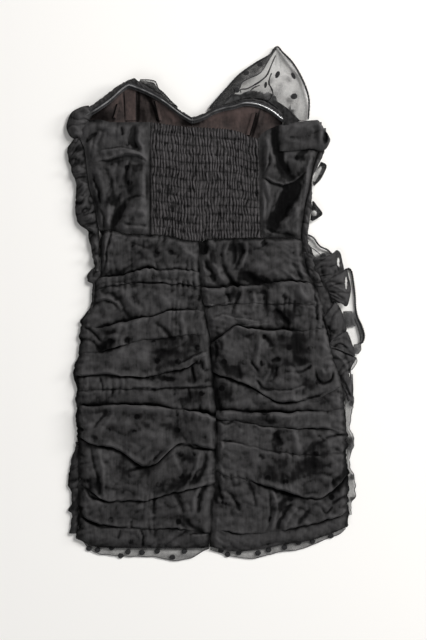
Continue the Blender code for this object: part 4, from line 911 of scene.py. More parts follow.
def relief(x, y, routes):
    """Height that the listed creases add."""
    total = np.zeros(x.shape)
    for route in routes:
        line = along(route.points, np.linspace(0.0, 1.0, 5 * len(route.points)))
        reach = 4.0 * route.width
        near = (x > line[:, 0].min() - reach) & (x < line[:, 0].max() + reach)
        near &= (y > line[:, 1].min() - reach) & (y < line[:, 1].max() + reach)
        if not near.any():
            continue
        gap, side, share = nearest(x[near], y[near], line)
        fade = 0.2 + 0.8 * smooth(margin(share) / 0.25)
        shape = bell(gap, route.width)
        if route.lip is not None:
            upward = 1.0 if line[-1, 0] > line[0, 0] else -1.0
            proud = side * upward * (1.0 if route.lip == "above" else -1.0) > 0.0
            raised = (1.0 - bell(gap, 0.4 * route.width)) * bell(gap, 2.2 * route.width)
            shape = np.where(proud, raised, -0.5 * shape)
        total[near] += route.height * fade * shape
    return total


def large_folds(x, y, folds):
    """Height that the bodice's large folds add."""
    total = np.zeros(x.shape)
    for fold in folds:
        line = np.array((fold.start, fold.bend, fold.end), float)
        gap, _, share = nearest(x, y, line)
        total += fold.height * (0.4 + 0.6 * np.sin(np.pi * share)) * bell(gap, fold.half_width)
    return total


def patches(x, y, tone_and_shade, stray=0.0, seed=0.0):
    """Change of tone from patches of painted shade and painted highlight, and of the layered cloth's own
    tone, with edges that stray by less on small ones.
    """
    total = np.zeros(x.shape)
    stray_x, stray_y = shifted(x, y, stray, seed)
    for tone in tone_and_shade:
        turn = math.radians(tone.turn)
        loose = min(1.0, min(tone.long, tone.short) / 14.0)
        aside = mix(x, stray_x, loose) - tone.x
        along_y = mix(y, stray_y, loose) - tone.y
        across = aside * math.cos(turn) + along_y * math.sin(turn)
        up = along_y * math.cos(turn) - aside * math.sin(turn)
        reach = np.hypot(across / tone.long, up / tone.short)
        total += tone.change * smooth(1.5 - reach)
    return PATCH_STRENGTH * total


def lattice(i, j, seed):
    """Fixed uneven number from 0 to 1 for each place of a lattice."""
    value = np.sin(i * 127.1 + j * 311.7 + seed * 74.7) * 43758.5453
    return value - np.floor(value)


def noise(x, y, wide, tall, seed):
    """Soft uneven value from -1 to 1, with lumps of the given size."""
    u = x / wide + 17.3 * seed
    v = y / tall + 9.1 * seed
    i = np.floor(u)
    j = np.floor(v)
    s = smooth(u - i)
    t = smooth(v - j)
    low = mix(lattice(i, j, seed), lattice(i + 1, j, seed), s)
    high = mix(lattice(i, j + 1, seed), lattice(i + 1, j + 1, seed), s)
    return 2.0 * mix(low, high, t) - 1.0


def ripple(place, length, seed):
    """Soft uneven value from -1 to 1 along one direction."""
    return noise(place, 0.0 * place, length, 1.0, seed)


def doubled(x, y, wide, tall, seed):
    """Share of cloth that lies double, in patches of about the given size."""
    return smooth((noise(x, y, wide, tall, seed) - 0.05) / 0.3)


def shifted(x, y, reach, seed):
    """Places moved a little, so that what is given in the tables gets uneven edges."""
    across = noise(x, y, 17.0, 13.0, seed) + 0.5 * noise(x, y, 7.0, 6.0, seed + 1.0)
    up = noise(x, y, 14.0, 15.0, seed + 2.0) + 0.5 * noise(x, y, 6.0, 7.0, seed + 3.0)
    return x + reach * across, y + reach * up


def streaks(x, y, seed):
    """Fine uneven streaks that run two ways, one way here and the other there."""
    down = noise(x + 0.6 * y, y - 0.6 * x, 4.2, 26.0, seed)
    across = noise(x - 0.7 * y, y + 0.7 * x, 4.6, 30.0, seed + 1.0)
    level = noise(x, y, 34.0, 3.6, seed + 2.0)
    first = smooth(0.5 + 1.6 * noise(x, y, 33.0, 27.0, seed + 3.0))
    second = smooth(0.4 + 1.6 * noise(x, y, 29.0, 31.0, seed + 4.0))
    return mix(mix(down, across, first), level, 0.7 * second)


def crumple(x, y, wide, tall, turn, seed):
    """Puffs of cloth with sharp creases between them, about from -0.5 to 1."""
    u = x * math.cos(turn) + y * math.sin(turn)
    v = y * math.cos(turn) - x * math.sin(turn)
    value = 0.68 * noise(u, v, wide, tall, seed) + 0.32 * noise(u, v, 0.5 * wide, 0.5 * tall, seed + 5)
    return 2.2 * np.abs(value) - 0.5


def neck_edge(x):
    """Outer edge of the neckline's gathered edge."""
    return np.maximum(read(NECK_EDGE, x), read(PIPING, x) + BINDING_HALF + GAP + FRILL_WIDTH)


def front_top(x, y):
    """Height of the front cup's upper side."""
    start = read(BACK_TOP, x) + CUP_FLAT
    end = read(PIPING, x) + CUP_OUTER
    return FRONT_TOP + read(NECK_RISE, x) * smooth((y - start) / (end - start))


def lining_top(x, y):
    """Height of the lining's upper side."""
    return front_top(x, y) + GAP + LINING_WALL


def on_lining(x, out):
    """Height on the strip of lining along its top edge, by the distance out from the piping."""
    edge = read(PIPING, x)
    inner = lining_top(x, edge + CUP_INNER)
    outer = lining_top(x, edge + CUP_OUTER)
    return mix(inner, outer, (out - CUP_INNER) / (CUP_OUTER - CUP_INNER)) + GAP


def under_back(x, y):
    """Lowest height that the back's inner side may have at a place."""
    rise = smooth((y - read(BACK_TOP, x) + 5.0 * LINING_TUCK) / (3.0 * LINING_TUCK))
    rise = rise * smooth((UNDER_BAND_LEFT - x) / 14.0)
    return mix(BACK_FLOOR, FRONT_TOP + LINING_WALL + 2.0 * GAP, rise)


def frill_edge_top(x):
    """Height of the upper side of the gathered edge, along its outer line."""
    return np.maximum(FRONT_TOP + 1.0, on_lining(x, BINDING_HALF) + BINDING_WALL - FRILL_DROP)


class Nodes:
    """Short way of adding linked shader nodes to one material."""

    def __init__(self, name):
        self.material = bpy.data.materials.new(name)
        self.material.use_nodes = True
        self.tree = self.material.node_tree
        self.shader = self.tree.nodes["Principled BSDF"]
        self.place = self.add("ShaderNodeTexCoord").outputs["Object"]

    def add(self, kind, inputs=(), **settings):
        node = self.tree.nodes.new(kind)
        for title, value in settings.items():
            setattr(node, title, value)
        self.fill(node, inputs)
        return node

    def fill(self, node, inputs):
        for title, value in inputs:
            if isinstance(value, (int, float, tuple)):
                node.inputs[title].default_value = value
            else:
                self.tree.links.new(value, node.inputs[title])

    def math(self, operation, *values):
        return self.add("ShaderNodeMath", enumerate(values), operation=operation).outputs[0]

    def attribute(self, title):
        return self.add("ShaderNodeAttribute", attribute_name=title).outputs["Fac"]

    def noise(self, scale, detail, roughness, place=None):
        inputs = (("Scale", scale), ("Detail", detail), ("Roughness", roughness),
                  ("Vector", self.place if place is None else place))
        return self.add("ShaderNodeTexNoise", inputs).outputs[0]

    def streaks(self, turn, scale):
        turned = self.add("ShaderNodeMapping", (("Rotation", (0.0, 0.0, turn)), ("Scale", (1.0, 0.14, 1.0)),
                                                ("Vector", self.place)))
        return self.noise(scale, 1.0, 0.5, turned.outputs["Vector"])

    def threads(self, direction, period):
        inputs = (("Scale", 0.314 / period), ("Distortion", 0.6), ("Detail", 1.0), ("Vector", self.place))
        return self.add("ShaderNodeTexWave", inputs, bands_direction=direction).outputs["Fac"]

    def dotted(self, spacing, radius):
        node = self.add("ShaderNodeTexVoronoi", (("Scale", 1.0 / spacing), ("Randomness", 0.55),
                                                 ("Vector", self.place)), voronoi_dimensions="2D")
        ramp = self.add("ShaderNodeMapRange", (("From Min", 1.15 * radius / spacing),
                                               ("From Max", 0.85 * radius / spacing),
                                               ("Value", node.outputs["Distance"])),
                        interpolation_type="SMOOTHSTEP")
        return ramp.outputs[0]


def fabric_tone(nodes, dot_shade):
    """Tone of woven cloth: the tone attribute, which carries painted shade and painted highlight along with
    the cloth's own tone, with a fine mottle and, where it is printed, soft dots.
    """
    mottle = -0.9
    for layer, amount in ((nodes.noise(55.0, 3.0, 0.55), 0.5), (nodes.noise(230.0, 3.0, 0.65), 0.5),
                          (nodes.streaks(0.5, 330.0), 0.4), (nodes.streaks(-0.75, 300.0), 0.4)):
        mottle = nodes.math("MULTIPLY_ADD", layer, amount, mottle)
    share = nodes.math("MULTIPLY", nodes.attribute("tone"), 2.6)
    share = nodes.math("MAXIMUM", nodes.math("MINIMUM", share, 1.0), 0.15)
    tone = nodes.math("MULTIPLY_ADD", mottle, share, nodes.attribute("tone"))
    if dot_shade > 0.0:
        tone = nodes.math("MULTIPLY_ADD", nodes.dotted(0.034, 0.0042), -dot_shade, tone)
    return tone


def fabric(name, colours, roughness, period, crinkle=0.35, gloss=0.12, sheer=False, dot_shade=0.0,
           metallic=0.0):
    """Woven cloth: mottled tone, crossing threads, a fine crinkle and, where sheer, an open weave."""
    nodes = Nodes(name)
    shader = nodes.shader
    nodes.fill(shader, (("Metallic", metallic), ("Specular IOR Level", gloss), ("Sheen Weight", 0.02),
                        ("Sheen Roughness", 0.45)))
    tone = fabric_tone(nodes, dot_shade)
    ramp = nodes.add("ShaderNodeValToRGB", (("Fac", tone),))
    ramp.color_ramp.elements[0].color = (*colours[0], 1.0)
    ramp.color_ramp.elements[1].color = (*colours[-1], 1.0)
    if len(colours) > 2:
        ramp.color_ramp.elements.new(LOW_TONE).color = (*colours[1], 1.0)
    dull = nodes.add("ShaderNodeMapRange", (("From Min", -0.05), ("From Max", 0.42), ("Value", tone),
                                            ("To Min", HOLLOW_ROUGHNESS), ("To Max", roughness)))
    height = nodes.math("ADD", nodes.threads("X", period), nodes.threads("Y", period))
    height = nodes.math("MULTIPLY_ADD", nodes.noise(420.0, 3.0, 0.6), 2.2, height)
    height = nodes.math("MULTIPLY_ADD", nodes.noise(120.0, 2.0, 0.5), 3.0, height)
    bump = nodes.add("ShaderNodeBump", (("Strength", crinkle), ("Distance", 0.0006), ("Height", height)))
    nodes.fill(shader, (("Base Color", ramp.outputs["Color"]), ("Roughness", dull.outputs[0]),
                        ("Normal", bump.outputs["Normal"])))
    if sheer:
        veil = nodes.attribute("veil")
        open_share = nodes.math("MULTIPLY", nodes.math("SUBTRACT", 1.0, veil), veil)
        grain = nodes.math("SUBTRACT", nodes.noise(300.0, 2.0, 0.6), 0.5)
        nodes.fill(shader, (("Alpha", nodes.math("MULTIPLY_ADD", grain, open_share, veil)),))
    return nodes.material


# Fabrics. Their colours run from the darkest tone to the lightest, some with one at the low tone between.
CHARCOAL_COLOURS = ((0.0008, 0.0008, 0.0009), (0.0225, 0.022, 0.0225), (0.060, 0.0585, 0.060))
SHIRRING_COLOURS = ((0.0012, 0.0012, 0.0013), (0.0245, 0.0235, 0.024), (0.070, 0.066, 0.068))
LINING_COLOURS = ((0.0022, 0.0013, 0.0011), (0.036, 0.0295, 0.0285), (0.100, 0.072, 0.067))
BINDING_COLOURS = ((0.012, 0.012, 0.013), (0.085, 0.085, 0.089))
# The piping's lightest colour is its painted highlight.
PIPING_COLOURS = ((0.06, 0.06, 0.062), (0.5, 0.5, 0.51))
SHEER_COLOURS = ((0.003, 0.003, 0.0033), (0.115, 0.115, 0.117))
ROLLED_COLOURS = ((0.006, 0.006, 0.007), (0.07, 0.07, 0.072))
THREAD_COLOURS = ((0.004, 0.004, 0.0044), (0.04, 0.04, 0.041))
DOT_COLOURS = ((0.012, 0.012, 0.013), (0.06, 0.06, 0.062))

CHARCOAL = fabric("charcoal organza", CHARCOAL_COLOURS, 0.42, 0.0008, gloss=0.05, dot_shade=0.14)
OPEN_CHARCOAL = fabric("charcoal organza with slits", CHARCOAL_COLOURS, 0.42, 0.0008, gloss=0.05,
                       sheer=True)
SHIRRING = fabric("shirred organza", SHIRRING_COLOURS, 0.5, 0.0008, gloss=0.05)
LINING = fabric("lining satin", LINING_COLOURS, 0.42, 0.0006, crinkle=0.2, gloss=0.06)
BINDING = fabric("binding satin", BINDING_COLOURS, 0.38, 0.0006, crinkle=0.25)
PIPING_SATIN = fabric("piping satin", PIPING_COLOURS, 0.22, 0.0005, crinkle=0.15, gloss=0.8, metallic=0.5)
SHEER = fabric("sheer organza", SHEER_COLOURS, 0.5, 0.0007, crinkle=0.25, sheer=True)
ROLLED = fabric("rolled hem", ROLLED_COLOURS, 0.45, 0.0006)
THREAD = fabric("thread", THREAD_COLOURS, 0.5, 0.0004)
DOT = fabric("dot", DOT_COLOURS, 0.6, 0.0006)


def add_piece(name, points, faces, material, tone, veil=None, carrier=None):
    """Adds a mesh in millimetres, with its tone, painted shade and highlight included, and its closeness of
    weave for each point.
    """
    mesh = bpy.data.meshes.new(name)
    mesh.from_pydata((np.asarray(points, float) * MILLIMETRE).tolist(), [], faces)
    mesh.shade_smooth()
    mesh.set_sharp_from_angle(angle=math.radians(60.0))
    for title, values in (("tone", tone), ("veil", veil)):
        if values is not None:
            layer = mesh.attributes.new(title, "FLOAT", "POINT")
            layer.data.foreach_set("value", np.asarray(values, np.float32).ravel())
    mesh.materials.append(material)
    piece = bpy.data.objects.new(name, mesh)
    bpy.context.collection.objects.link(piece)
    if carrier is not None:
        piece.parent = carrier
    else:
        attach(piece, "root")
    return piece


def stand_in(piece, node):
    """Shows a piece in place of a solid, which it hides."""
    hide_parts(node)
    return piece


def soften(height, reach):
    """Height averaged over the neighbours of each grid point, out to a number of steps each way."""
    for axis in (0, 1):
        widths = [(reach, reach) if side == axis else (0, 0) for side in (0, 1)]
        padded = np.pad(height, widths, mode="edge")
        total = np.cumsum(padded, axis=axis)
        lead = np.take(total, np.arange(2 * reach, total.shape[axis]), axis=axis)
        start = np.take(total, np.arange(0, total.shape[axis] - 2 * reach), axis=axis)
        first = np.take(padded, np.arange(0, padded.shape[axis] - 2 * reach), axis=axis)
        height = (lead - start + first) / (2 * reach + 1)
    return height


def painted_hollow_shade(height):
    """Painted shade in the hollows of a grid and painted highlight on its crests, as a change of tone."""
    fine = np.clip(height - soften(height, 2), -0.5, 0.4)
    broad = np.clip(height - soften(height, 7), -1.5, 1.5)
    return 0.3 * fine + 0.14 * broad


def wall(name, upper, thickness, material, tone, veil=None, lower=None, carrier=None):
    """Closes a grid of upper points into a thin wall of cloth, adding painted shade in the hollows and
    painted highlight on the crests of large grids.
    """
    rows, columns = upper.shape[:2]
    if min(rows, columns) > 16:
        tone = tone + painted_hollow_shade(upper[..., 2])
        below = SOFT_DARK * np.exp(np.minimum(0.0, tone - SOFT_DARK) / SOFT_DARK)
        tone = np.where(tone < SOFT_DARK, below, tone)
    if lower is None:
        lower = upper - np.array((0.0, 0.0, thickness))
    points = np.concatenate([upper.reshape(-1, 3), lower.reshape(-1, 3)])
    count = rows * columns
    index = np.arange(count).reshape(rows, columns)
    quads = np.stack([index[:-1, :-1], index[:-1, 1:], index[1:, 1:], index[1:, :-1]], axis=-1)
    quads = quads.reshape(-1, 4)
    rim = np.concatenate([index[0], index[1:, -1], index[-1, -2::-1], index[-2:0:-1, 0]])
    after = np.roll(rim, -1)
    sides = np.stack([rim, after, after + count, rim + count], axis=-1)
    right = upper[:-1, 1:] - upper[:-1, :-1]
    down = upper[1:, :-1] - upper[:-1, :-1]
    facing = (right[..., 0] * down[..., 1] - right[..., 1] * down[..., 0]).sum()
    if facing < 0.0:
        faces = np.concatenate([quads[:, ::-1], quads + count, sides])
    else:
        faces = np.concatenate([quads, quads[:, ::-1] + count, sides[:, ::-1]])
    tone = np.tile(np.ravel(tone), 2)
    if veil is not None:
        veil = np.tile(np.ravel(veil), 2)
    return add_piece(name, points, faces.tolist(), material, tone, veil, carrier)


def tube(name, points, radius, tone, carrier=None, material=ROLLED, sides=6):
    """Round cord along some points, such as a rolled edge."""
    points = np.asarray(points, float)
    count = len(points)
    radius = np.broadcast_to(np.asarray(radius, float), (count,))
    run = np.gradient(points, axis=0)
    run /= np.linalg.norm(run, axis=1)[:, None]
    across = np.cross(run, (0.0, 0.0, 1.0))
    across /= np.maximum(1e-6, np.linalg.norm(across, axis=1))[:, None]
    up = np.cross(across, run)
    turns = np.linspace(0.0, 2.0 * np.pi, sides, endpoint=False)
    ring = across[:, None] * np.cos(turns)[None, :, None] + up[:, None] * np.sin(turns)[None, :, None]
    shell = (points[:, None] + radius[:, None, None] * ring).reshape(-1, 3)
    index = np.arange(count * sides).reshape(count, sides)
    beside = np.roll(index, -1, axis=1)
    quads = np.stack([index[:-1], beside[:-1], beside[1:], index[1:]], axis=-1).reshape(-1, 4).tolist()
    quads.append(index[0, ::-1].tolist())
    quads.append(index[-1].tolist())
    tone = np.broadcast_to(tone, (len(shell),))
    return add_piece(name, shell, quads, material, tone, np.ones(len(shell)), carrier)


def dots(name, places, carrier):
    """Small raised dots: x, y, height, half length, half width and turn in degrees of each."""
    points = []
    faces = []
    for x, y, z, long, short, turn in places:
        start = len(points)
        lean = math.radians(turn)
        points.append((x, y, z + DOT_HEIGHT))
        for reach, drop in DOT_RINGS:
            for step in range(DOT_SIDES):
                angle = 2.0 * math.pi * step / DOT_SIDES
                a = reach * long * math.cos(angle) * (1.0 + 0.05 * math.sin(3.0 * angle + x))
                b = reach * short * math.sin(angle)
                across = x + a * math.cos(lean) - b * math.sin(lean)
                up = y + a * math.sin(lean) + b * math.cos(lean)
                points.append((across, up, z + DOT_HEIGHT - drop))
        for step in range(DOT_SIDES):
            after = (step + 1) % DOT_SIDES
            faces.append((start, start + 1 + step, start + 1 + after))
            for ring in (0, 1):
                first = start + 1 + ring * DOT_SIDES
                outer = first + DOT_SIDES
                faces.append((first + step, outer + step, outer + after, first + after))
        faces.append(tuple(start + 1 + 2 * DOT_SIDES + step for step in range(DOT_SIDES - 1, -1, -1)))
    return add_piece(name, points, faces, DOT, np.full(len(points), 0.2), np.ones(len(points)), carrier)


def stitches(name, lines, carrier, length, space, radius):
    """Rows of thread stitches that lie on the cloth along some lines of points."""
    points = []
    faces = []
    low = np.array((0.0, 0.0, radius))
    for line in lines:
        line = np.asarray(line, float)
        total = np.sqrt((np.diff(line, axis=0) ** 2).sum(axis=1)).sum()
        count = max(1, int(total / (length + space)))
        for number in range(count):
            ends = along(line, np.array((number, number + length / (length + space))) / count)
            run = (ends[1] - ends[0]) / np.linalg.norm(ends[1] - ends[0])
            across = np.cross(run, (0.0, 0.0, 1.0))
            across *= radius / max(1e-6, np.linalg.norm(across))
            start = len(points)
            points.append(ends[0] - low)
            for share in (0.25, 0.75):
                middle = mix(ends[0], ends[1], share)
                points += [middle + across, middle + low, middle - across, middle - low]
            points.append(ends[1] - low)
            for side in range(4):
                after = (side + 1) % 4
                faces.append((start, start + 1 + side, start + 1 + after))
                faces.append((start + 1 + side, start + 5 + side, start + 5 + after, start + 1 + after))
                faces.append((start + 9, start + 5 + after, start + 5 + side))
    return add_piece(name, points, faces, THREAD, np.full(len(points), 0.5), None, carrier)


def crease_side(distance, line, proud):
    """Height, painted tone and slide down beside a skirt crease: a painted highlight on its proud side and
    a painted shade at its foot.
    """
    depth, spread = line.depth, line.spread
    if proud:
        rise = LIP_SHARE * depth * (bell(distance, LIP_HALF) - 1.35 * bell(distance, CUT_HALF * spread))
        shade = 0.15 * bell(distance, 6.0) * depth / FULL_DEPTH
        slide = 0.26 * depth * smooth(distance / 1.4) * bell(distance, 5.0)
        return rise, shade, slide
    sharp = (LIP_SHARE - 0.2) * bell(distance, FOOT_HALF * spread)
    rise = -depth * (sharp + 0.3 * bell(distance, FOOT_REACH * spread))
    return rise, -0.2 * bell(distance, SHADE_HALF * spread) * depth / FULL_DEPTH, 0.0


def skirt_lines(side_edge, creases, share, rounding, turn):
    """Lines across one half of the back skirt: its waist, each crease and its hem."""
    shift = turn * SEAM_HALF
    waist_x, hem_x = (mix(read(CENTRE_SEAM, y) + shift, read(side_edge, y), share)
                      for y in (SKIRT_TOP, SKIRT_BOTTOM))
    even = np.ones(SKIRT_COLUMNS)
    lines = [Line(read(WAIST, waist_x) - WAIST_SPACE, WAIST_DEPTH * rounding, even)]
    place = SKIRT_WIDTH * share
    for number, crease in enumerate(creases, 1):
        seed = number + 30.0 * turn
        wander = 1.2 * noise(place, share, 8.0, 9.0, seed)
        wander = wander + 1.9 * noise(place, share, 24.0, 9.0, seed + 0.5)
        spread = np.clip(1.15 + 0.9 * noise(place, share, 30.0, 9.0, 24.0 + seed), 0.5, 2.1)
        uneven = np.clip(0.7 + 1.15 * noise(place, share, 40.0, 9.0, 14.0 + seed), 0.06, 1.45)
        depth = CREASE_DEPTH * spaced(crease.depths, share) * rounding * uneven
        lines.append(Line(spaced(crease.heights, share) + wander, depth, spread))
    lines.append(Line(read(HEM, hem_x), 0.0 * even, even))
    return lines


def skirt_rows(lines, creases, rounding):
    """Rows between the lines of a skirt half: y, rise, distance to the nearer line, shade and slide."""
    parts = []
    last = len(creases)
    for number, (above, below) in enumerate(zip(lines, lines[1:])):
        count = max(5, round(float(np.median(above.y - below.y)) / ROW_STEP))
        step = np.linspace(0.0, 1.0, count + 1)[:None if number == last else -1, None]
        y = mix(above.y, below.y, mix(step, smooth(step), 0.55))
        down = above.y - y
        up = y - below.y
        rise = SKIRT_PUFF * rounding + BULGE_SHARE * (above.depth + below.depth) * arch(step, 0.8)
        shade = np.zeros(y.shape)
        slide = np.zeros(y.shape)
        if number == 0:
            rise *= 0.4 + 0.6 * smooth(down / SKIRT_WAIST_ROW)
            # Painted shade just under the waist seam.
            shade -= 0.25 * bell(down, 2.0)
        else:
            more_rise, more_shade, more_slide = crease_side(down, above, creases[number - 1].lip == "below")
            rise += more_rise
            shade += more_shade
            slide += more_slide
        if number == last:
            rise = (rise + HEM_DROP) * smooth(up / SKIRT_HEM_ROW) ** 0.6 - HEM_DROP
        else:
            more_rise, more_shade, more_slide = crease_side(up, below, creases[number].lip == "above")
            rise += more_rise
            shade += more_shade
            slide -= more_slide
        parts.append((y, rise, np.minimum(down, up), shade, slide))
    return [np.concatenate(values) for values in zip(*parts)]


def skirt_relief(x, y, gap, inside, from_seam, from_side, turn):
    """Height that puffs, pleats and gathers add between the creases of a skirt half."""
    clear = inside * smooth(gap / 4.0)
    busy = smooth(0.5 + 0.9 * noise(x, y, 44.0, 30.0, 15.0 + turn))
    rise = clear * mix(0.5, 1.5, busy) * crumple(x, y, 38.0, 17.0, 0.35 * turn, 1.0 + turn)
    rise += clear * mix(0.3, 1.2, busy) * crumple(x, y, 27.0, 13.0, -0.6 * turn, 4.0 + turn)
    rise += clear * mix(0.9, 0.1, busy) * crumple(x, y, 15.0, 30.0, 0.3, 7.0 + turn)
    rise += inside * (0.5 * noise(x, y, 13.0, 9.0, 8.0 + turn) + 0.28 * noise(x, y, 6.0, 5.0, 9.0 + turn))
    pleats = np.abs(np.sin(0.26 * x + 2.8 * noise(x, y, 20.0, 50.0, 16.0 + turn))) - 0.6
    drawn_in = smooth(0.2 + 1.3 * noise(x, y, 50.0, 34.0, 17.0 + turn))
    rise += 2.2 * inside * smooth(gap / 1.5) * drawn_in * pleats * np.exp(-gap / 11.0)
    gathers = np.sin((y + 0.3 * from_seam) * 0.6 + 3.6 * noise(x, y, 22.0, 20.0, 3.0 + turn))
    patchy = smooth(0.3 + 1.2 * noise(x, y, 26.0, 30.0, 20.0 + turn))
    rise += 1.4 * clear * patchy * gathers * np.exp(-from_seam / 13.0)
    gathers = np.sin((y - 0.35 * from_side) * 0.5 + 3.8 * noise(x, y, 20.0, 17.0, 6.0 + turn))
    return rise + 0.9 * clear * gathers * np.exp(-from_side / 16.0)


def skirt(node, side_edge, creases, routes, tone_and_shade, turn):
    """One half of the back skirt, with a row of points along each of its creases."""
    share = np.linspace(0.0, 1.0, SKIRT_COLUMNS)
    share = mix(share, smooth(share), 0.3)
    rounding = mix(0.55, 1.0, smooth(share / 0.05)) * smooth((1.0 - share) / 0.06)
    lines = skirt_lines(side_edge, creases, share, rounding, turn)
    y, rise, gap, shade, slide = skirt_rows(lines, creases, rounding)
    across = np.broadcast_to(share, y.shape)
    inside = smooth(margin(across) / 0.05)

    wobble = ripple(y, 13.0, 90.0) + 0.7 * ripple(y, 6.0, 91.0)
    wobble = wobble * smooth((SKIRT_TOP - 4.0 - y) / 8.0) * smooth((y - SKIRT_BOTTOM - 20.0) / 20.0)
    seam = read(CENTRE_SEAM, y) + wobble
    side = read(side_edge, y)
    x = mix(seam + turn * SEAM_HALF, side, across)
    from_seam = np.abs(x - seam)
    from_side = np.abs(x - side)
    drawn = 1.3 * relief(*shifted(x, y, 1.5, 40.0 + turn), routes)
    rise += inside * drawn + skirt_relief(x, y, gap, inside, from_seam, from_side, turn)
    z = BACK_BASE + np.maximum(-HEM_DROP, np.where(rise < 0.0, 0.4 * rise, rise))

    # Tone: the cloth's own level, patches of painted shade and highlight, painted shade and highlight
    # beside and along the creases, fine streaks and doubled layers of the cloth, painted shade along the
    # centre seam, and darker towards the side edge.
    tone = SKIRT_TONE + patches(x, y, tone_and_shade, 5.0, 44.0 + turn) + shade
    tone += CREASE_SHADE * np.clip(drawn, -2.4, 3.0) + 0.11 * streaks(x, y, 50.0 + turn)
    tone += 0.10 - 0.20 * doubled(x, y, 34.0, 24.0, 11.0 + turn)
    tone += 0.08 * noise(x, y, 13.0, 10.0, 12.0) + 0.05 * noise(x, y, 5.0, 5.0, 13.0)
    tone -= 0.34 * (0.9 + noise(y, x, 16.0, 40.0, 92.0)) * np.exp(-from_seam / 2.6)
    tone -= 0.16 * np.exp(-from_side / 9.0)

    bumps = 1.0 + 2.2 * ripple(y, 8.0, 18.0 + turn) + 1.1 * ripple(y, 3.8, 19.0 + turn)
    x = x + turn * bumps * smooth((across - 0.94) / 0.06)
    piece = wall(node + "_cloth", surface(x, y + inside * slide, z), CLOTH, CHARCOAL, tone)
    stand_in(piece, node)


def seam_place(edge, level, shift):
    """Place across of a bodice panel's edge, at a share of the way from its top to the waist."""
    x = np.full(np.shape(level), float(edge[0][1]))
    for _ in range(8):
        x = read(edge, mix(read(BACK_TOP, x), read(WAIST, x) + SEAM, level)) + shift
    return x


def band_cover(x, y):
    """How much of its height the panel gives up under the folded band."""
    over = (y - read(BAND_BOTTOM, x) + BAND_PRESS_WIDTH) / BAND_PRESS_WIDTH
    beside = (x - BAND_LEFT + 1.4 * BAND_PRESS_WIDTH) / BAND_PRESS_WIDTH
    return BAND_PRESS * smooth(over) * smooth(beside)


def side_panel(node, left_edge, right_edge, folds, routes, turn):
    """Gathered panel of the back bodice between two edges."""
    level, share = grid(PANEL_ROWS, PANEL_COLUMNS)
    x = mix(seam_place(left_edge, level, SEAM), seam_place(right_edge, level, -SEAM), share)
    y = mix(read(BACK_TOP, x), read(WAIST, x) + SEAM, level)
    drawn = 1.25 * relief(*shifted(x, y, 1.3, 60.0 + turn), routes)
    puff = 4.0 + 1.2 * large_folds(x, y, folds) + drawn
    puff += 1.3 * crumple(x, y, 15.0, 36.0, 0.3 * turn, 21.0 + turn)
    puff += 0.9 * crumple(x, y, 16.0, 22.0, -0.7 * turn, 24.0 + turn) + 0.3 * noise(x, y, 6.0, 5.0, 27.0)
    edge = smooth(margin(share) / 0.12) * smooth(margin(level) / 0.07)
    z = under_back(x, y) + WALL + edge * (1.0 - band_cover(x, y)) * np.maximum(0.0, puff)

    # Tone: the cloth's own level, patches of painted shade and highlight, painted shade and highlight along
    # the creases, streaks and doubled layers of the cloth, lighter near the side edges and darker along the
    # waist row.
    tone = BODICE_TONE + patches(x, y, BODICE_SHADING, 3.0, 64.0 + turn)
    tone += CREASE_SHADE * np.clip(drawn, -2.4, 3.0) + 0.10 * streaks(x, y, 70.0 + turn)
    tone += 0.09 - 0.18 * doubled(x, y, 20.0, 30.0, 31.0 + turn)
    tone += 0.10 * noise(x, y, 9.0, 12.0, 32.0) + 0.07 * noise(x, y, 4.0, 5.0, 33.0)
    tone += 0.16 * np.exp(-18.0 * margin(share)) - 0.2 * np.exp(-60.0 * (1.0 - level))
    stand_in(wall(node + "_cloth", surface(x, y, z), CLOTH, CHARCOAL, tone), node)


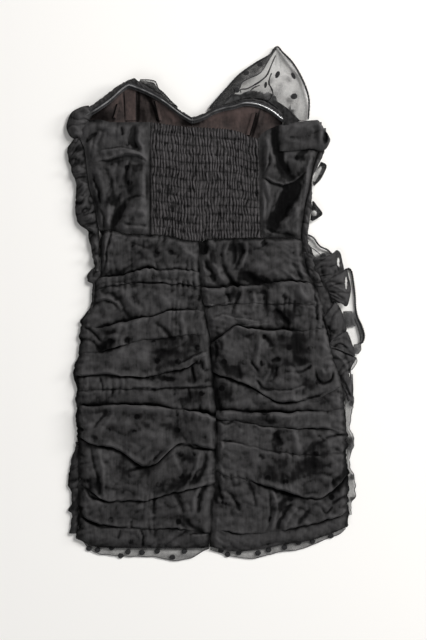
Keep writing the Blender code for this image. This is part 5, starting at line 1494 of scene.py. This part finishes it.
def shirred_panel():
    """Elasticated centre panel: uneven gathers pinched at each row of stitches."""
    rows = (SHIRRING_BANDS + 1) * BAND_STEPS + 1
    level, share = grid(rows, GATHERS * GATHER_STEPS + 1)
    x = mix(SHIRRED_LEFT + SEAM, seam_place(SHIRRED_RIGHT, level, -SEAM), share)
    top = read(BACK_TOP, x)
    waist = read(WAIST, x)
    y = mix(top, waist + SEAM, level)
    down = (top - y - SHIRRING_HEADER) / ((top - waist - SHIRRING_HEADER) / SHIRRING_BANDS)
    header = down < 0.0
    band = np.where(header, -1.0, np.floor(np.maximum(0.0, down)))
    within = np.where(header, 1.0 + 0.9 * down * SHIRRING_BAND / SHIRRING_HEADER, down - band)

    phase = GATHERS * share + 0.14 * noise(band * 7.0, share * 60.0, 1.0, 9.0, 41.0)
    phase = phase + 0.42 * noise(x, y, 13.0, 17.0, 42.0) + 0.2 * noise(x, y, 6.0, 9.0, 48.0)
    wave = np.abs(np.sin(np.pi * phase)) ** 0.75
    lift = 0.62 + 0.38 * arch(np.clip(within, 0.0, 1.0), 0.5)
    dashes = smooth((noise(phase * 2.0, y, 1.0, 6.0, 47.0) - 0.2) / 0.25)
    stitched = np.where(header, 0.0, bell(margin(within) * SHIRRING_BAND, 1.1))
    strength = 0.75 + 0.35 * noise(x, y, 5.0, 11.0, 43.0)
    rise = GATHER_HEIGHT * wave * lift * strength * (1.0 - 0.6 * dashes) - 0.3 * stitched
    rise += 0.5 * noise(x, y, 34.0, 26.0, 44.0) + relief(x, y, SHIRRED_CREASES)
    z = SHIRRED_FLOOR + WALL - 0.4 + smooth(margin(share) / 0.02) * np.maximum(-0.8, rise)

    # Painted highlight on the crests of the gathers, painted shade between them and at the rows of
    # stitches, and darker where the gathers lie flatter.
    tone = 0.06 + 0.6 * wave * lift - 0.06 * stitched - 0.22 * dashes
    tone += 0.10 * noise(x, y, 22.0, 16.0, 45.0) + 0.12 * noise(x, y, 5.0, 9.0, 46.0)
    tone += 0.16 * noise(phase, y, 1.0, 5.0, 49.0)
    y = y + np.where(level == 0.0, 0.8 * np.sin(2.0 * np.pi * phase), 0.0)
    upper = surface(x, y, z)
    lower = surface(x, y, SHIRRED_FLOOR)
    piece = wall("back_shirred_panel_cloth", upper, CLOTH, SHIRRING, tone, lower=lower)
    header_share = SHIRRING_HEADER / SHIRRED_LENGTH
    lines = []
    for number in range(SHIRRING_BANDS):
        row = round((header_share + number * (1.0 - header_share) / SHIRRING_BANDS) * (rows - 1))
        lines.append(upper[row, 3:-3:4] + (0.0, 0.0, 0.1))
    stitches("shirring_stitches", lines, piece, length=1.7, space=1.0, radius=0.2)
    stand_in(piece, "back_shirred_panel")


def folded_band():
    """Band folded over the top of the right side panel."""
    level, share = grid(44, 90)
    x = mix(BAND_LEFT - 4.0, BAND_RIGHT, share)
    y = mix(read(BAND_TOP, x), read(BAND_BOTTOM, x), level)
    x = x - 7.0 * level * smooth((BAND_LEFT + 22.0 - x) / 26.0)
    crown = BAND_CROWN * arch(level, mix(0.55, 0.9, smooth(level)))
    ends = smooth((BAND_RIGHT + 2.0 - x) / 12.0) * (0.25 + 0.75 * smooth((x - BAND_LEFT) / 26.0))
    drawn = relief(*shifted(x, y, 0.9, 56.0), BAND_CREASES)
    rise = ends * (crown + 0.9 * crumple(x, y, 26.0, 14.0, 0.3, 51.0) + 0.4 * noise(x, y, 9.0, 7.0, 53.0))
    rise += drawn * smooth(margin(level) / 0.15)
    z = BAND_FLOOR + WALL + np.maximum(-1.2, rise) - 3.0 * smooth((BAND_LEFT + 7.0 - x) / 10.0)
    # Painted shade and highlight from the band's patches and creases, painted shade in the hollow at its
    # left end and along its lower edge.
    tone = 0.5 + patches(x, y, BAND_SHADING) + 0.08 * drawn + 0.12 * noise(x, y, 26.0, 9.0, 52.0)
    tone += 0.12 * streaks(x, y, 54.0) - 0.6 * smooth((BAND_LEFT + 4.0 - x) / 5.0)
    tone -= 0.12 * bell(1.0 - level, 0.05)
    lower = surface(x, y, np.minimum(z - CLOTH, BAND_FLOOR + 0.1))
    piece = wall("back_band_right_cloth", surface(x, y, z), CLOTH, CHARCOAL, tone, lower=lower)
    stand_in(piece, "back_band_right")


def strip(item):
    """Narrow gathered strip down one side, between two edges given as tables of y."""
    level, share = grid(max(40, int((item.top - item.bottom) / STRIP_STEP)), STRIP_COLUMNS)
    sheer = item.look == "sheer"
    seed = item.seed
    y = mix(item.top, item.bottom, level)
    direction = 1.0 if read(item.outer, item.top) > read(item.inner, item.top) else -1.0
    inner = read(item.inner, y) + direction * (SEAM - item.tuck)
    bumps = ripple(y, 8.0, seed) + 0.6 * ripple(y, 3.6, seed + 4.0)
    outer = read(item.outer, y) + direction * STRIP_BUMP * bumps
    x = mix(inner, outer, share)
    width = np.abs(outer - inner)

    phase = 2.0 * np.pi * item.waves * level + 2.0 * share + 1.2 * noise(y, x, 34.0, 20.0, seed)
    pleat = crumple(x, y, 19.0, 12.0, -0.5 * direction, seed + 1.0)
    ribs = np.abs(np.sin(0.3 * y + 0.25 * direction * x + 3.4 * noise(x, y, 13.0, 15.0, seed + 5.0))) - 0.5
    puff = arch(share, 0.8) * (0.55 + 0.45 * (0.5 + 0.5 * np.sin(phase)))
    puff += arch(share, 0.5) * (0.4 * pleat * smooth(width / 12.0) + 0.13 * ribs * smooth(width / 10.0))
    z = item.floor + (SHEER_WALL if sheer else WALL) + item.crown * np.maximum(0.0, puff)
    # Painted highlight on the pleats' crests and painted shade along the inner edge, beside what the strip
    # is sewn to.
    tone = item.tone + 0.12 * pleat - 0.3 * np.exp(-share / 0.07)
    tone += 0.18 * noise(x, y, 10.0, 13.0, seed + 2.0)
    upper = surface(x, y, z)
    carrier = bpy.data.objects[item.carrier] if item.carrier else None
    if sheer:
        knots = smooth((noise(x, y, 9.0, 11.0, seed + 3.0) - 0.1) / 0.4)
        veil = 0.22 + 0.42 * knots + 0.3 * smooth((share - 0.86) / 0.1)
        veil += 0.25 * smooth((0.12 - share) / 0.1)
        piece = wall(item.name + "_cloth", upper, VEIL, SHEER, tone - 0.1, veil, carrier=carrier)
        tube(item.name + "_rolled_edge", upper[::2, -1] + (0.0, 0.0, 0.1), 0.55, 0.45, piece)
    else:
        piece = wall(item.name + "_cloth", upper, CLOTH, CHARCOAL, tone, carrier=carrier)
    if carrier is None:
        stand_in(piece, item.name)


def ruffle_root(item, share):
    """Places and lower heights of a ruffle's sewn line, beside what carries it."""
    if item.carrier == "free":
        place = along(item.root, share)
        return place[..., 0], place[..., 1], np.full(share.shape, item.root_z)
    place = mix(item.root[0], item.root[1], share)
    if item.carrier == "strip":
        return read(STRIP_RIGHT_EDGE, place) + RUFFLE_SPACE, place, np.full(share.shape, item.root_z)
    on_band = place > CUP_END + 3.0
    y = np.where(on_band, read(BAND_TOP, place) + RUFFLE_SPACE, neck_edge(place) - PETAL_TUCK)
    z = np.where(on_band, BAND_RUFFLE_FLOOR, frill_edge_top(place) - WALL + item.root_z - 1.2)
    return place, y, z


def ruffle_grid(item, rows, columns, pleats, seed):
    """Points of a ruffle piece, with its levels from the sewn line out and shares along it."""
    level, share = grid(rows, columns)
    root_x, root_y, root_z = ruffle_root(item, share)
    edge = along(item.edge, share)
    x = mix(root_x, edge[..., 0], level)
    y = mix(root_y, edge[..., 1], level)
    ends = smooth(margin(share) / 0.15)
    crown = item.crown * arch(level) * (0.4 + 0.6 * ends)
    wave = item.wave * (1.0 + level * np.sin(2.0 * np.pi * item.waves * share))
    z = mix(root_z, item.edge_z, level) + crown + wave + (SHEER_WALL if item.look == "sheer" else WALL)
    fold = np.abs(np.sin(np.pi * (pleats * share + 0.6 * noise(share * 10.0, level * 2.0, 1.6, 1.2, seed))))
    height = 0.35 * min(item.crown, RUFFLE_CROWN_LIMIT) * (fold - 0.5) * (1.0 - 0.4 * level)
    z = z + ends * smooth(level / 0.08) * height
    # Painted highlight across the pleats and painted shade in the creases between them.
    tone = 0.40 + 0.25 * fold + 0.1 * noise(x, y, 8.0, 8.0, seed + 1.0)
    return level, share, x, y, z, tone


def opaque_ruffle(name, pleats, seed):
    """Ruffle piece of doubled cloth, with a rolled edge and thin slits where the folds part."""
    level, _, x, y, z, tone = ruffle_grid(RUFFLES[name], 30, 72, pleats, seed)
    drawn = relief(x, y, LOBE_CREASES)
    inside = smooth(level / 0.08) * smooth((1.0 - level) / 0.08)
    drawn_in = drawn + 0.5 * crumple(x, y, 12.0, 9.0, 0.5, seed + 2.0) + 0.2 * noise(x, y, 5.0, 5.0, seed)
    z = z + inside * drawn_in
    # Painted shade in the creases and highlight on their ridges, and painted shade along the sewn root.
    tone += 0.10 * drawn - 0.10 - 0.25 * np.exp(-level / 0.05) + 0.12 * noise(x, y, 7.0, 6.0, seed + 3.0)
    veil = np.ones(x.shape)
    for slit_x, slit_y, half_wide, half_tall in LOBE_SLITS:
        reach = np.hypot((x - slit_x) / half_wide, (y - slit_y) / half_tall)
        veil -= 0.93 * smooth((1.15 - reach) / 0.35)
    upper = surface(x, y, z)
    piece = wall(name + "_cloth", upper, CLOTH, OPEN_CHARCOAL, tone, veil)
    tube(name + "_rolled_edge", upper[-1] - (0.0, 0.0, 0.3), 0.6, 0.3, piece)
    stand_in(piece, name)


def sheer_ruffle(name, rows, columns, pleats, seed, veil, routes=(), tone_shift=0.0, edge_radius=0.8):
    """Sheer ruffle piece; veil gives the closeness of the cloth from its level, share, x and y."""
    level, share, x, y, z, tone = ruffle_grid(RUFFLES[name], rows, columns, pleats, seed)
    drawn = relief(x, y, routes)
    z = z + drawn * smooth(level / 0.06) * smooth((1.0 - level) / 0.04)
    closeness = veil(level, share, x, y) + 0.16 * np.clip(np.abs(drawn) - 0.15, 0.0, 1.0)
    lump = crumple(x, y, 9.0, 6.0, 0.4, seed + 7.0)
    tone += tone_shift + 0.08 * noise(x, y, 6.0, 5.0, seed + 8.0)
    tone -= (0.5 - 0.3 * lump) * smooth((closeness - 0.5) / 0.3)
    upper = surface(x, y, z)
    piece = wall(name + "_cloth", upper, VEIL, SHEER, tone, np.clip(closeness, 0.02, 0.97))
    rolled = edge_radius * (0.8 + 0.4 * np.abs(np.sin(0.9 * np.arange(columns))))
    tube(name + "_rolled_edge", upper[-1] - (0.0, 0.0, 0.1), rolled, 0.3, piece)
    return stand_in(piece, name), upper


def petal_height(upper, x, y):
    """Height of a petal's upper side at the grid point nearest to a place."""
    gaps = np.hypot(upper[..., 0] - x, upper[..., 1] - y)
    return float(upper[np.unravel_index(gaps.argmin(), gaps.shape)][2])


def on_petal(upper, places, lift):
    """Points just above a petal's upper side."""
    return np.array([(x, y, petal_height(upper, x, y) + lift) for x, y in places])


def petal_veil(level, share, x, y):
    """Closeness of the big petal's cloth: dark gathers at its foot and a doubled right edge."""
    over = read(PETAL_GATHERS, x) - (y - neck_edge(x)) + 1.6 * ripple(x, 5.0, 65.0)
    lumps = 0.9 + 0.3 * noise(x, y, 7.0, 8.0, 64.0)
    foot = 0.95 * lumps * smooth(over / 2.0 + 0.5) * smooth((122.0 - x) / 10.0)
    soft = 0.10 * np.exp(-np.maximum(0.0, -over) / 16.0)
    right = 0.34 * smooth((level - 0.93) / 0.03) * smooth((share - 0.56) / 0.06)
    right = right + 0.6 * smooth((0.05 - level) / 0.03) * smooth((x - 106.0) / 6.0)
    return 0.16 + foot + soft + right + 0.03 * noise(x, y, 24.0, 18.0, 61.0)


def small_petal_veil(level, share, x, y):
    """Closeness of the small petal at the left cup: thin at the start of its outer edge."""
    thin = smooth((0.45 - share) / 0.1) * smooth((level - 0.74) / 0.12)
    return 0.74 + 0.22 * smooth((0.5 - level) / 0.3) - 0.5 * thin + 0.1 * noise(x, y, 4.0, 4.0, 114.0)


def top_lobe_veil(level, share, x, y):
    """Closeness of the top lobe: close along its outer edge and at both ends."""
    return (0.1 + 0.75 * smooth((level - 0.42) / 0.2) + 0.6 * smooth((0.2 - share) / 0.1)
            + 0.5 * smooth((share - 0.8) / 0.12))


def holed_lobe_veil(level, share, x, y):
    """Closeness of the second lobe: close, but for one opening."""
    return 0.92 - 0.85 * smooth((5.5 - np.hypot(x - 148.0, y - 136.0)) / 2.5)


def open_lobe_veil(level, share, x, y):
    """Closeness of the third lobe: open, but for its two ends."""
    ends = 0.45 * smooth((share - 0.8) / 0.12) + 0.4 * smooth((0.2 - share) / 0.1)
    return 0.16 + ends + 0.12 * noise(x, y, 6.0, 5.0, 117.0)


def loop_veil(level, share, x, y):
    """Closeness of the long loop: nearly clear, with a doubled edge on its lower half."""
    return 0.04 + 0.5 * smooth((share - 0.55) / 0.05) * smooth((level - 0.62) / 0.12)


def big_petal():
    """Big sheer petal at the right cup, with its folded strip, inner edges and dots."""
    piece, upper = sheer_ruffle("bust_petal_right", 46, 180, 3, 61.0, petal_veil, PETAL_PLEATS, 0.16, 1.25)
    share = np.linspace(0.0, 1.0, 90)
    level = np.linspace(0.0, 1.0, 9)[:, None]
    place = mix(along(PETAL_STRIP_OUTER, share), along(PETAL_STRIP_INNER, share), level[..., None])
    x, y = place[..., 0], place[..., 1]
    height = np.array([[petal_height(upper, *spot) for spot in row] for row in place])
    shade = noise(x, y, 13.0, 11.0, 62.0)
    veil = 0.33 + 0.18 * shade + 0.3 * smooth((0.12 - level) / 0.08)
    veil = veil + 0.36 * smooth((48.0 - x) / 18.0) + 0.26 * smooth((x - 66.0) / 14.0)
    wall("bust_petal_right_folded_strip", surface(x, y, height + 0.7 + 0.5 * arch(level)), VEIL, SHEER,
         0.34 + 0.1 * shade, np.clip(veil, 0.05, 0.95), carrier=piece)
    fine = np.linspace(0.0, 1.0, 60)
    swell = 0.75 + 0.45 * np.sin(np.pi * fine) * (1.0 + 0.5 * np.sin(23.0 * fine))
    for title, places, radius in PETAL_EDGES:
        line = on_petal(upper, along(places, fine), 0.9)
        tube("bust_petal_right_" + title, line, radius * swell, 0.35, piece)
    places = []
    for x, y, *rest in PETAL_DOTS:
        lift = 1.5 if x < 70 else 0.3
        places.append((x, y, petal_height(upper, x, y) + lift, *rest))
    dots("bust_petal_right_dots", places, piece)


def ruffles():
    """Gathers and small petal at the left, and the petal and lobes down the right side."""
    opaque_ruffle("underarm_gather_left", 3, 111.0)
    opaque_ruffle("side_tip_left", 2, 112.0)
    sheer_ruffle("bust_petal_left", 20, 74, 4, 113.0, small_petal_veil, tone_shift=-0.24)
    big_petal()
    sheer_ruffle("side_ruffle_right_a", 26, 70, 1, 114.0, top_lobe_veil, tone_shift=-0.1)
    sheer_ruffle("side_ruffle_right_b", 26, 70, 1, 115.0, holed_lobe_veil, tone_shift=-0.1)
    lobe, upper = sheer_ruffle("side_ruffle_right_c", 26, 80, 2, 116.0, open_lobe_veil, edge_radius=1.2)
    line = on_petal(upper, along(LOBE_LINE, np.linspace(0.0, 1.0, 24)), 0.4)
    tube("side_ruffle_right_c_line", line, 0.6, 0.3, lobe)
    x, y = LOBE_DOT
    dots("side_ruffle_right_c_dot", [(x, y, petal_height(upper, x, y) + 0.6, 4.2, 3.6, 10)], lobe)
    for number, (letter, pleats) in enumerate(zip("defgh", (4, 4, 3, 3, 5))):
        opaque_ruffle("side_ruffle_right_" + letter, pleats, 117.0 + number)
    loop, upper = sheer_ruffle("side_ruffle_right_net", 14, 130, 3, 122.0, loop_veil, edge_radius=1.3)
    line = on_petal(upper, along(LOOP_FOLD, np.linspace(0.0, 1.0, 30)), 0.5)
    tube("side_ruffle_right_net_fold", line, 0.8, 0.3, loop)


def patch(item):
    """Small piece between two edges, with a rolled edge along the second."""
    level, share = grid(20, 30)
    place = mix(along(item.first, share), along(item.last, share), level[..., None])
    x, y = place[..., 0], place[..., 1]
    upper = surface(x, y, item.height + 0.8 * arch(level) + 0.25 * noise(x, y, 5.0, 4.0, 141.0))
    veil = np.clip(item.closeness + 0.1 * noise(x, y, 4.0, 4.0, 142.0), 0.02, 0.97)
    material = SHEER if item.look == "sheer" else OPEN_CHARCOAL
    piece = wall(item.name, upper, VEIL, material, item.tone + 0.1 * noise(x, y, 3.0, 3.0, 143.0), veil,
                 carrier=bpy.data.objects[item.carrier])
    if item.edge_radius > 0.0:
        tube(item.name + "_rolled_edge", upper[-1], item.edge_radius, 0.3, piece)


def cup_grid(left, right, height):
    """Points of a cup, from under the back's top edge up to the neckline."""
    level, share = grid(24, CUP_COLUMNS)
    x = mix(left, right, share)
    y = mix(read(BACK_TOP, x) - LINING_TUCK, read(PIPING, x) + CUP_OUTER, level)
    return x, y, height(x, y)


def cup(side, left, right):
    """Front cup and the lining inside it."""
    x, y, z = cup_grid(left, right, front_top)
    z = z + 0.25 * crumple(x, y, 12.0, 16.0, 0.3, 71.0) - 0.3
    piece = wall("front_cup_" + side + "_cloth", surface(x, y, z), WALL - 0.4, CHARCOAL,
                 0.5 + 0.15 * noise(x, y, 14.0, 14.0, 72.0))
    stand_in(piece, "front_cup_" + side)
    x, y, z = cup_grid(left, right, lining_top)
    drawn = relief(x, y, LINING_SEAMS)
    z = z + np.clip(drawn, -1.0, 1.0) + 0.25 * noise(x, y, 16.0, 20.0, 73.0) - 0.1
    # Painted shade along the seams and highlight on the puckers, patches of painted shade and highlight,
    # and painted shade under the binding along the top edge.
    tone = LINING_TONE + patches(x, y, LINING_TONE_AND_SHADE) + 0.3 * np.clip(drawn, -2.5, 1.0)
    tone += 0.08 * noise(x, y, 12.0, 18.0, 74.0) - 0.32 * smooth((y - read(PIPING, x) + 9.0) / 4.0)
    piece = wall("lining_cup_" + side + "_cloth", surface(x, y, z), CLOTH, LINING, tone)
    stand_in(piece, "lining_cup_" + side)


def binding(side, left, right):
    """Satin binding that lies over a cup's top edge."""
    level, share = grid(7, 2 * CUP_COLUMNS)
    level = 2.0 * level - 1.0
    x = mix(left, right, share)
    out = BINDING_HALF * level
    crown = BINDING_WALL + BINDING_CROWN * (1.0 - level ** 2) + 0.12 * noise(x, out, 5.0, 6.0, 75.0)
    tone = 0.33 - 0.16 * level + 0.14 * noise(x, out, 7.0, 5.0, 76.0)
    tone -= 0.16 * smooth((x + 122.0) / 10.0) * smooth((-36.0 - x) / 10.0)
    upper = surface(x, read(PIPING, x) + out, on_lining(x, out) + crown)
    piece = wall("neckline_binding_" + side + "_cloth", upper, 0.9, BINDING, tone)
    stand_in(piece, "neckline_binding_" + side)


def piping(side, left, right):
    """Shiny corded edge on the binding, with a painted highlight on the top of each cup."""
    x = np.linspace(left, right, 2 * CUP_COLUMNS)
    cord = surface(x, read(PIPING, x), on_lining(x, 0.0) + BINDING_WALL + BINDING_CROWN + PIPING_RADIUS)
    # Painted highlight: a lighter colour on the top of each cup, with a fine uneven glint along the cord.
    painted_glint_share = smooth((32.0 - np.abs(x + 150.0)) / 12.0) + 1.2 * smooth((34.0 - np.abs(x - 72.0)) / 10.0)
    glint = np.repeat(0.1 + 0.5 * painted_glint_share + 0.16 * ripple(x, 6.0, 80.0), PIPING_SIDES)
    piece = tube("neckline_piping_" + side + "_cord", cord, PIPING_RADIUS, glint, None, PIPING_SATIN,
                 PIPING_SIDES)
    stand_in(piece, "neckline_piping_" + side)


def frill(side, left, right):
    """Narrow gathered frill that stands past the neckline."""
    level, share = grid(14, 3 * CUP_COLUMNS)
    x = mix(left, right, share)
    bumps = 0.9 * noise(x, level * 3.0, 5.5, 4.0, 77.0) + 0.5 * noise(x, level, 2.4, 2.0, 78.0)
    y = mix(read(PIPING, x) + CUP_OUTER + GAP, neck_edge(x) + bumps, level)
    gathers = crumple(x, y, 4.5, 9.0, 0.5, 79.0)
    z = mix(on_lining(x, BINDING_HALF) + 0.1, frill_edge_top(x) + 0.6 * np.sin(0.9 * x), level)
    z = z + arch(level) * (1.2 + 0.8 * gathers)
    # Painted highlight and shade: lighter on the gathers' puffs, darker along the root under the binding, a
    # light and a dark line along the right cup's frill, and lighter on the left cup's outer slope.
    ridge = 0.25 * bell(level - 0.42, 0.1) - 0.3 * bell(level - 0.68, 0.1) - 0.08
    tone = 0.26 + 0.2 * gathers - 0.2 * np.exp(-level / 0.1) + smooth((x - 20.0) / 20.0) * ridge
    tone += 0.3 * smooth((-132.0 - x) / 8.0)
    piece = wall("neckline_frill_" + side + "_cloth", surface(x, y, z), CLOTH, CHARCOAL, tone)
    stand_in(piece, "neckline_frill_" + side)


def frill_fold():
    """Soft fold that runs along the right cup's frill."""
    x = np.linspace(52.0, 106.0, 40)
    line = surface(x, read(FRILL_FOLD, x), frill_edge_top(x) + 1.6)
    swell = 0.5 + 0.5 * np.sin(np.linspace(0.1, 3.0, 40))
    tube("neckline_frill_right_fold", line, swell, 0.02, bpy.data.objects["neckline_frill_right_cloth"])


def boning_channel(item):
    """Boning channel sewn on the lining, with two rows of stitches."""
    level, share = grid(30, 11)
    share = 2.0 * share - 1.0
    x = mix(item.top[0], item.bottom[0], level) + share * item.half_width
    y = mix(item.top[1], item.bottom[1], level)
    z = lining_top(x, y) + 0.5 + 0.7 * (1.0 - np.abs(share) ** 3) + 0.15 * noise(x, y, 4.0, 9.0, 81.0)
    tone = LINING_TONE + patches(x, y, LINING_TONE_AND_SHADE) + 0.1 * noise(x, y, 6.0, 12.0, 82.0)
    tone -= 0.8 * smooth((-item.light_side * share - 1.0 + 2.6 / item.half_width) / 0.25)
    upper = surface(x, y, z)
    piece = wall(item.name + "_cloth", upper, 0.4, LINING, tone)
    rows = [upper[1:-1, 1], upper[1:-1, -2]]
    stitches(item.name + "_stitches", rows, piece, length=1.8, space=0.8, radius=0.13)
    stand_in(piece, item.name)


def hem_net(node, edge, left, right, seed, places):
    """Dotted net below the hem, with a rolled scalloped edge."""
    level, share = grid(20, 170)
    x = mix(left, right, share)
    inner = read(HEM, x) + FRONT_HEM_SHORT - 4.0
    outer = np.minimum(inner - 8.0, read(edge, x)) + 0.5 * ripple(x, 9.0, seed)
    y = mix(inner, outer, level)
    upper = surface(x, y, 1.2 + 0.35 * level * noise(x, y, 8.0, 9.0, seed + 1.0))
    veil = 0.30 + 0.10 * noise(x, y, 16.0, 9.0, seed + 2.0) + 0.25 * smooth((0.55 - level) / 0.2)
    piece = wall(node + "_cloth", upper, VEIL, SHEER, np.full(x.shape, 0.36), np.clip(veil, 0.05, 0.95))
    tube(node + "_rolled_edge", upper[-1], 0.55, 0.42, piece)
    dots(node + "_dots", [(spot_x, spot_y, 1.45, 4.4, 3.9, turn) for spot_x, spot_y, turn in places], piece)
    stand_in(piece, node)


def front_skirt_place(level, share):
    """Places on the front skirt."""
    top = read(WAIST, mix(*FRONT_WAIST, share)) - SEAM
    low = read(HEM, mix(*FRONT_HEM, share)) + FRONT_HEM_SHORT
    y = mix(top, low, level)
    return mix(read(SKIRT_LEFT, y) + 1.0, read(SKIRT_RIGHT, y) - 1.0, share), y


def front_bodice_place(level, share):
    """Places on the front bodice."""
    x = mix(*FRONT_WAIST, share)
    for _ in range(6):
        corner = FRONT_CORNER + 3.0 * np.clip((x - CUP_END) / 12.0, 0.0, 1.0)
        top = np.where(x < CUP_END, read(BACK_TOP, x) - LINING_TUCK - SEAM, corner)
        y = mix(top, read(WAIST, x) + SEAM, level)
        left = np.maximum(read(STRIP_LEFT_EDGE, y) + 6.0, FRONT_LEFT_END)
        x = mix(left, read(STRIP_RIGHT_EDGE, y) - 1.5, share)
    return x, y


def front(node, rows, place):
    """Front piece, flat on the surface, with creases that lift its under side a little."""
    level, share = grid(rows, PANEL_COLUMNS)
    x, y = place(level, share)
    lift = np.clip(relief(x, y, FRONT_CREASES), 0.0, FRONT_SHELL_LIFT)
    lift += 0.25 * np.clip(crumple(x, y, 40.0, 10.0, 0.1, 91.0), 0.0, 1.0)
    lift *= smooth(margin(share) / 0.03) * smooth(margin(level) / 0.03)
    upper = surface(x, y, np.maximum(FRONT_TOP - CLOTH, lift + 0.5))
    tone = 0.5 + 0.12 * noise(x, y, 30.0, 18.0, 92.0)
    stand_in(wall(node + "_cloth", upper, CLOTH, CHARCOAL, tone, lower=surface(x, y, lift)), node)


# The whole dress, from the back's panels to the front under them. Turn is -1 for left and 1 for right.
skirt("back_skirt_left", SKIRT_LEFT, LEFT_CREASES, LEFT_SKIRT_CREASES, LEFT_SKIRT_TONE_AND_SHADE, -1.0)
skirt("back_skirt_right", SKIRT_RIGHT, RIGHT_CREASES, RIGHT_SKIRT_CREASES, RIGHT_SKIRT_TONE_AND_SHADE, 1.0)
side_panel("back_bodice_left", STRIP_CREASE, SHIRRED_LEFT_EDGE, LEFT_BODICE_FOLDS, LEFT_BODICE_CREASES,
           -1.0)
side_panel("back_bodice_right", SHIRRED_RIGHT, STRIP_SEAM, RIGHT_BODICE_FOLDS, RIGHT_BODICE_CREASES, 1.0)
shirred_panel()
folded_band()
for item in STRIPS:
    strip(item)
ruffles()
for ends in CUPS:
    cup(*ends)
    binding(*ends)
    piping(*ends)
    frill(*ends)
frill_fold()
for item in PATCHES:
    patch(item)
for item in CHANNELS:
    boning_channel(item)
hem_net("hem_net_left", NET_LEFT, -207.0, -10.0, 131.0, LEFT_NET_DOTS)
hem_net("hem_net_right", NET_RIGHT, -8.0, 196.0, 132.0, RIGHT_NET_DOTS)
front("front_skirt", 104, front_skirt_place)
front("front_bodice", 50, front_bodice_place)


def sewn_on(node):
    """Pieces sewn on a sheet."""
    names = []
    for side in ("left", "right"):
        if node == "front_cup_" + side:
            names += ["neckline_binding_" + side + "_cloth", "neckline_piping_" + side + "_cord",
                      "neckline_frill_" + side + "_cloth"]
        if node == "lining_cup_" + side:
            names += [item.name + "_cloth" for item in CHANNELS if (item.top[0] > 0.0) == (side == "right")]
    return [bpy.data.objects[name] for name in names]


for cut in CUTS:
    sewn_on(cut.node)


def pale_floor():
    """Pale plain floor that the dress lies on."""
    corners = [(x * FLOOR_HALF, y * FLOOR_HALF, FLOOR_TOP) for x, y in ((-1, -1), (1, -1), (1, 1), (-1, 1))]
    mesh = bpy.data.meshes.new("floor")
    mesh.from_pydata(corners, [], [(0, 1, 2, 3)])
    floor = bpy.data.objects.new("floor", mesh)
    bpy.context.collection.objects.link(floor)
    paper = Nodes("pale floor")
    paper.fill(paper.shader, (("Base Color", (0.91, 0.90, 0.882, 1.0)), ("Roughness", 0.9),
                              ("Specular IOR Level", 0.1)))
    mesh.materials.append(paper.material)


def lamp(name, place, size, power, colour):
    """Soft square studio lamp that faces the dress."""
    data = bpy.data.lights.new(name, "AREA")
    data.size = size
    data.energy = power
    data.color = colour
    item = bpy.data.objects.new(name, data)
    item.location = place
    bpy.context.collection.objects.link(item)
    aim = np.array(LAMP_AIM) - np.array(place)
    tilt = math.acos(-aim[2] / np.linalg.norm(aim))
    item.rotation_euler = (tilt, 0.0, math.atan2(aim[1], aim[0]) - math.pi / 2.0)


def studio():
    """Plain soft light all round."""
    world = bpy.data.worlds.new("studio")
    bpy.context.scene.world = world
    world.use_nodes = True
    background = world.node_tree.nodes["Background"]
    background.inputs["Color"].default_value = (1.0, 0.985, 0.965, 1.0)
    background.inputs["Strength"].default_value = 0.17
    bpy.context.scene.view_settings.view_transform = "Standard"


def overhead_camera():
    """Camera straight above the dress, as in the photograph."""
    data = bpy.data.cameras.new("camera")
    data.lens = 60.0
    data.sensor_width = 36.0
    camera = bpy.data.objects.new("camera", data)
    camera.location = CAMERA_PLACE
    bpy.context.collection.objects.link(camera)
    bpy.context.scene.camera = camera


pale_floor()
lamp("key", (2.7, 2.4, 2.5), 1.6, 208.0, (1.0, 0.99, 0.975))
lamp("side", (3.0, 0.8, 1.2), 0.8, 64.0, (1.0, 0.99, 0.975))
lamp("fill", (-1.5, -2.0, 2.2), 1.8, 25.0, (0.98, 0.99, 1.0))
studio()
overhead_camera()
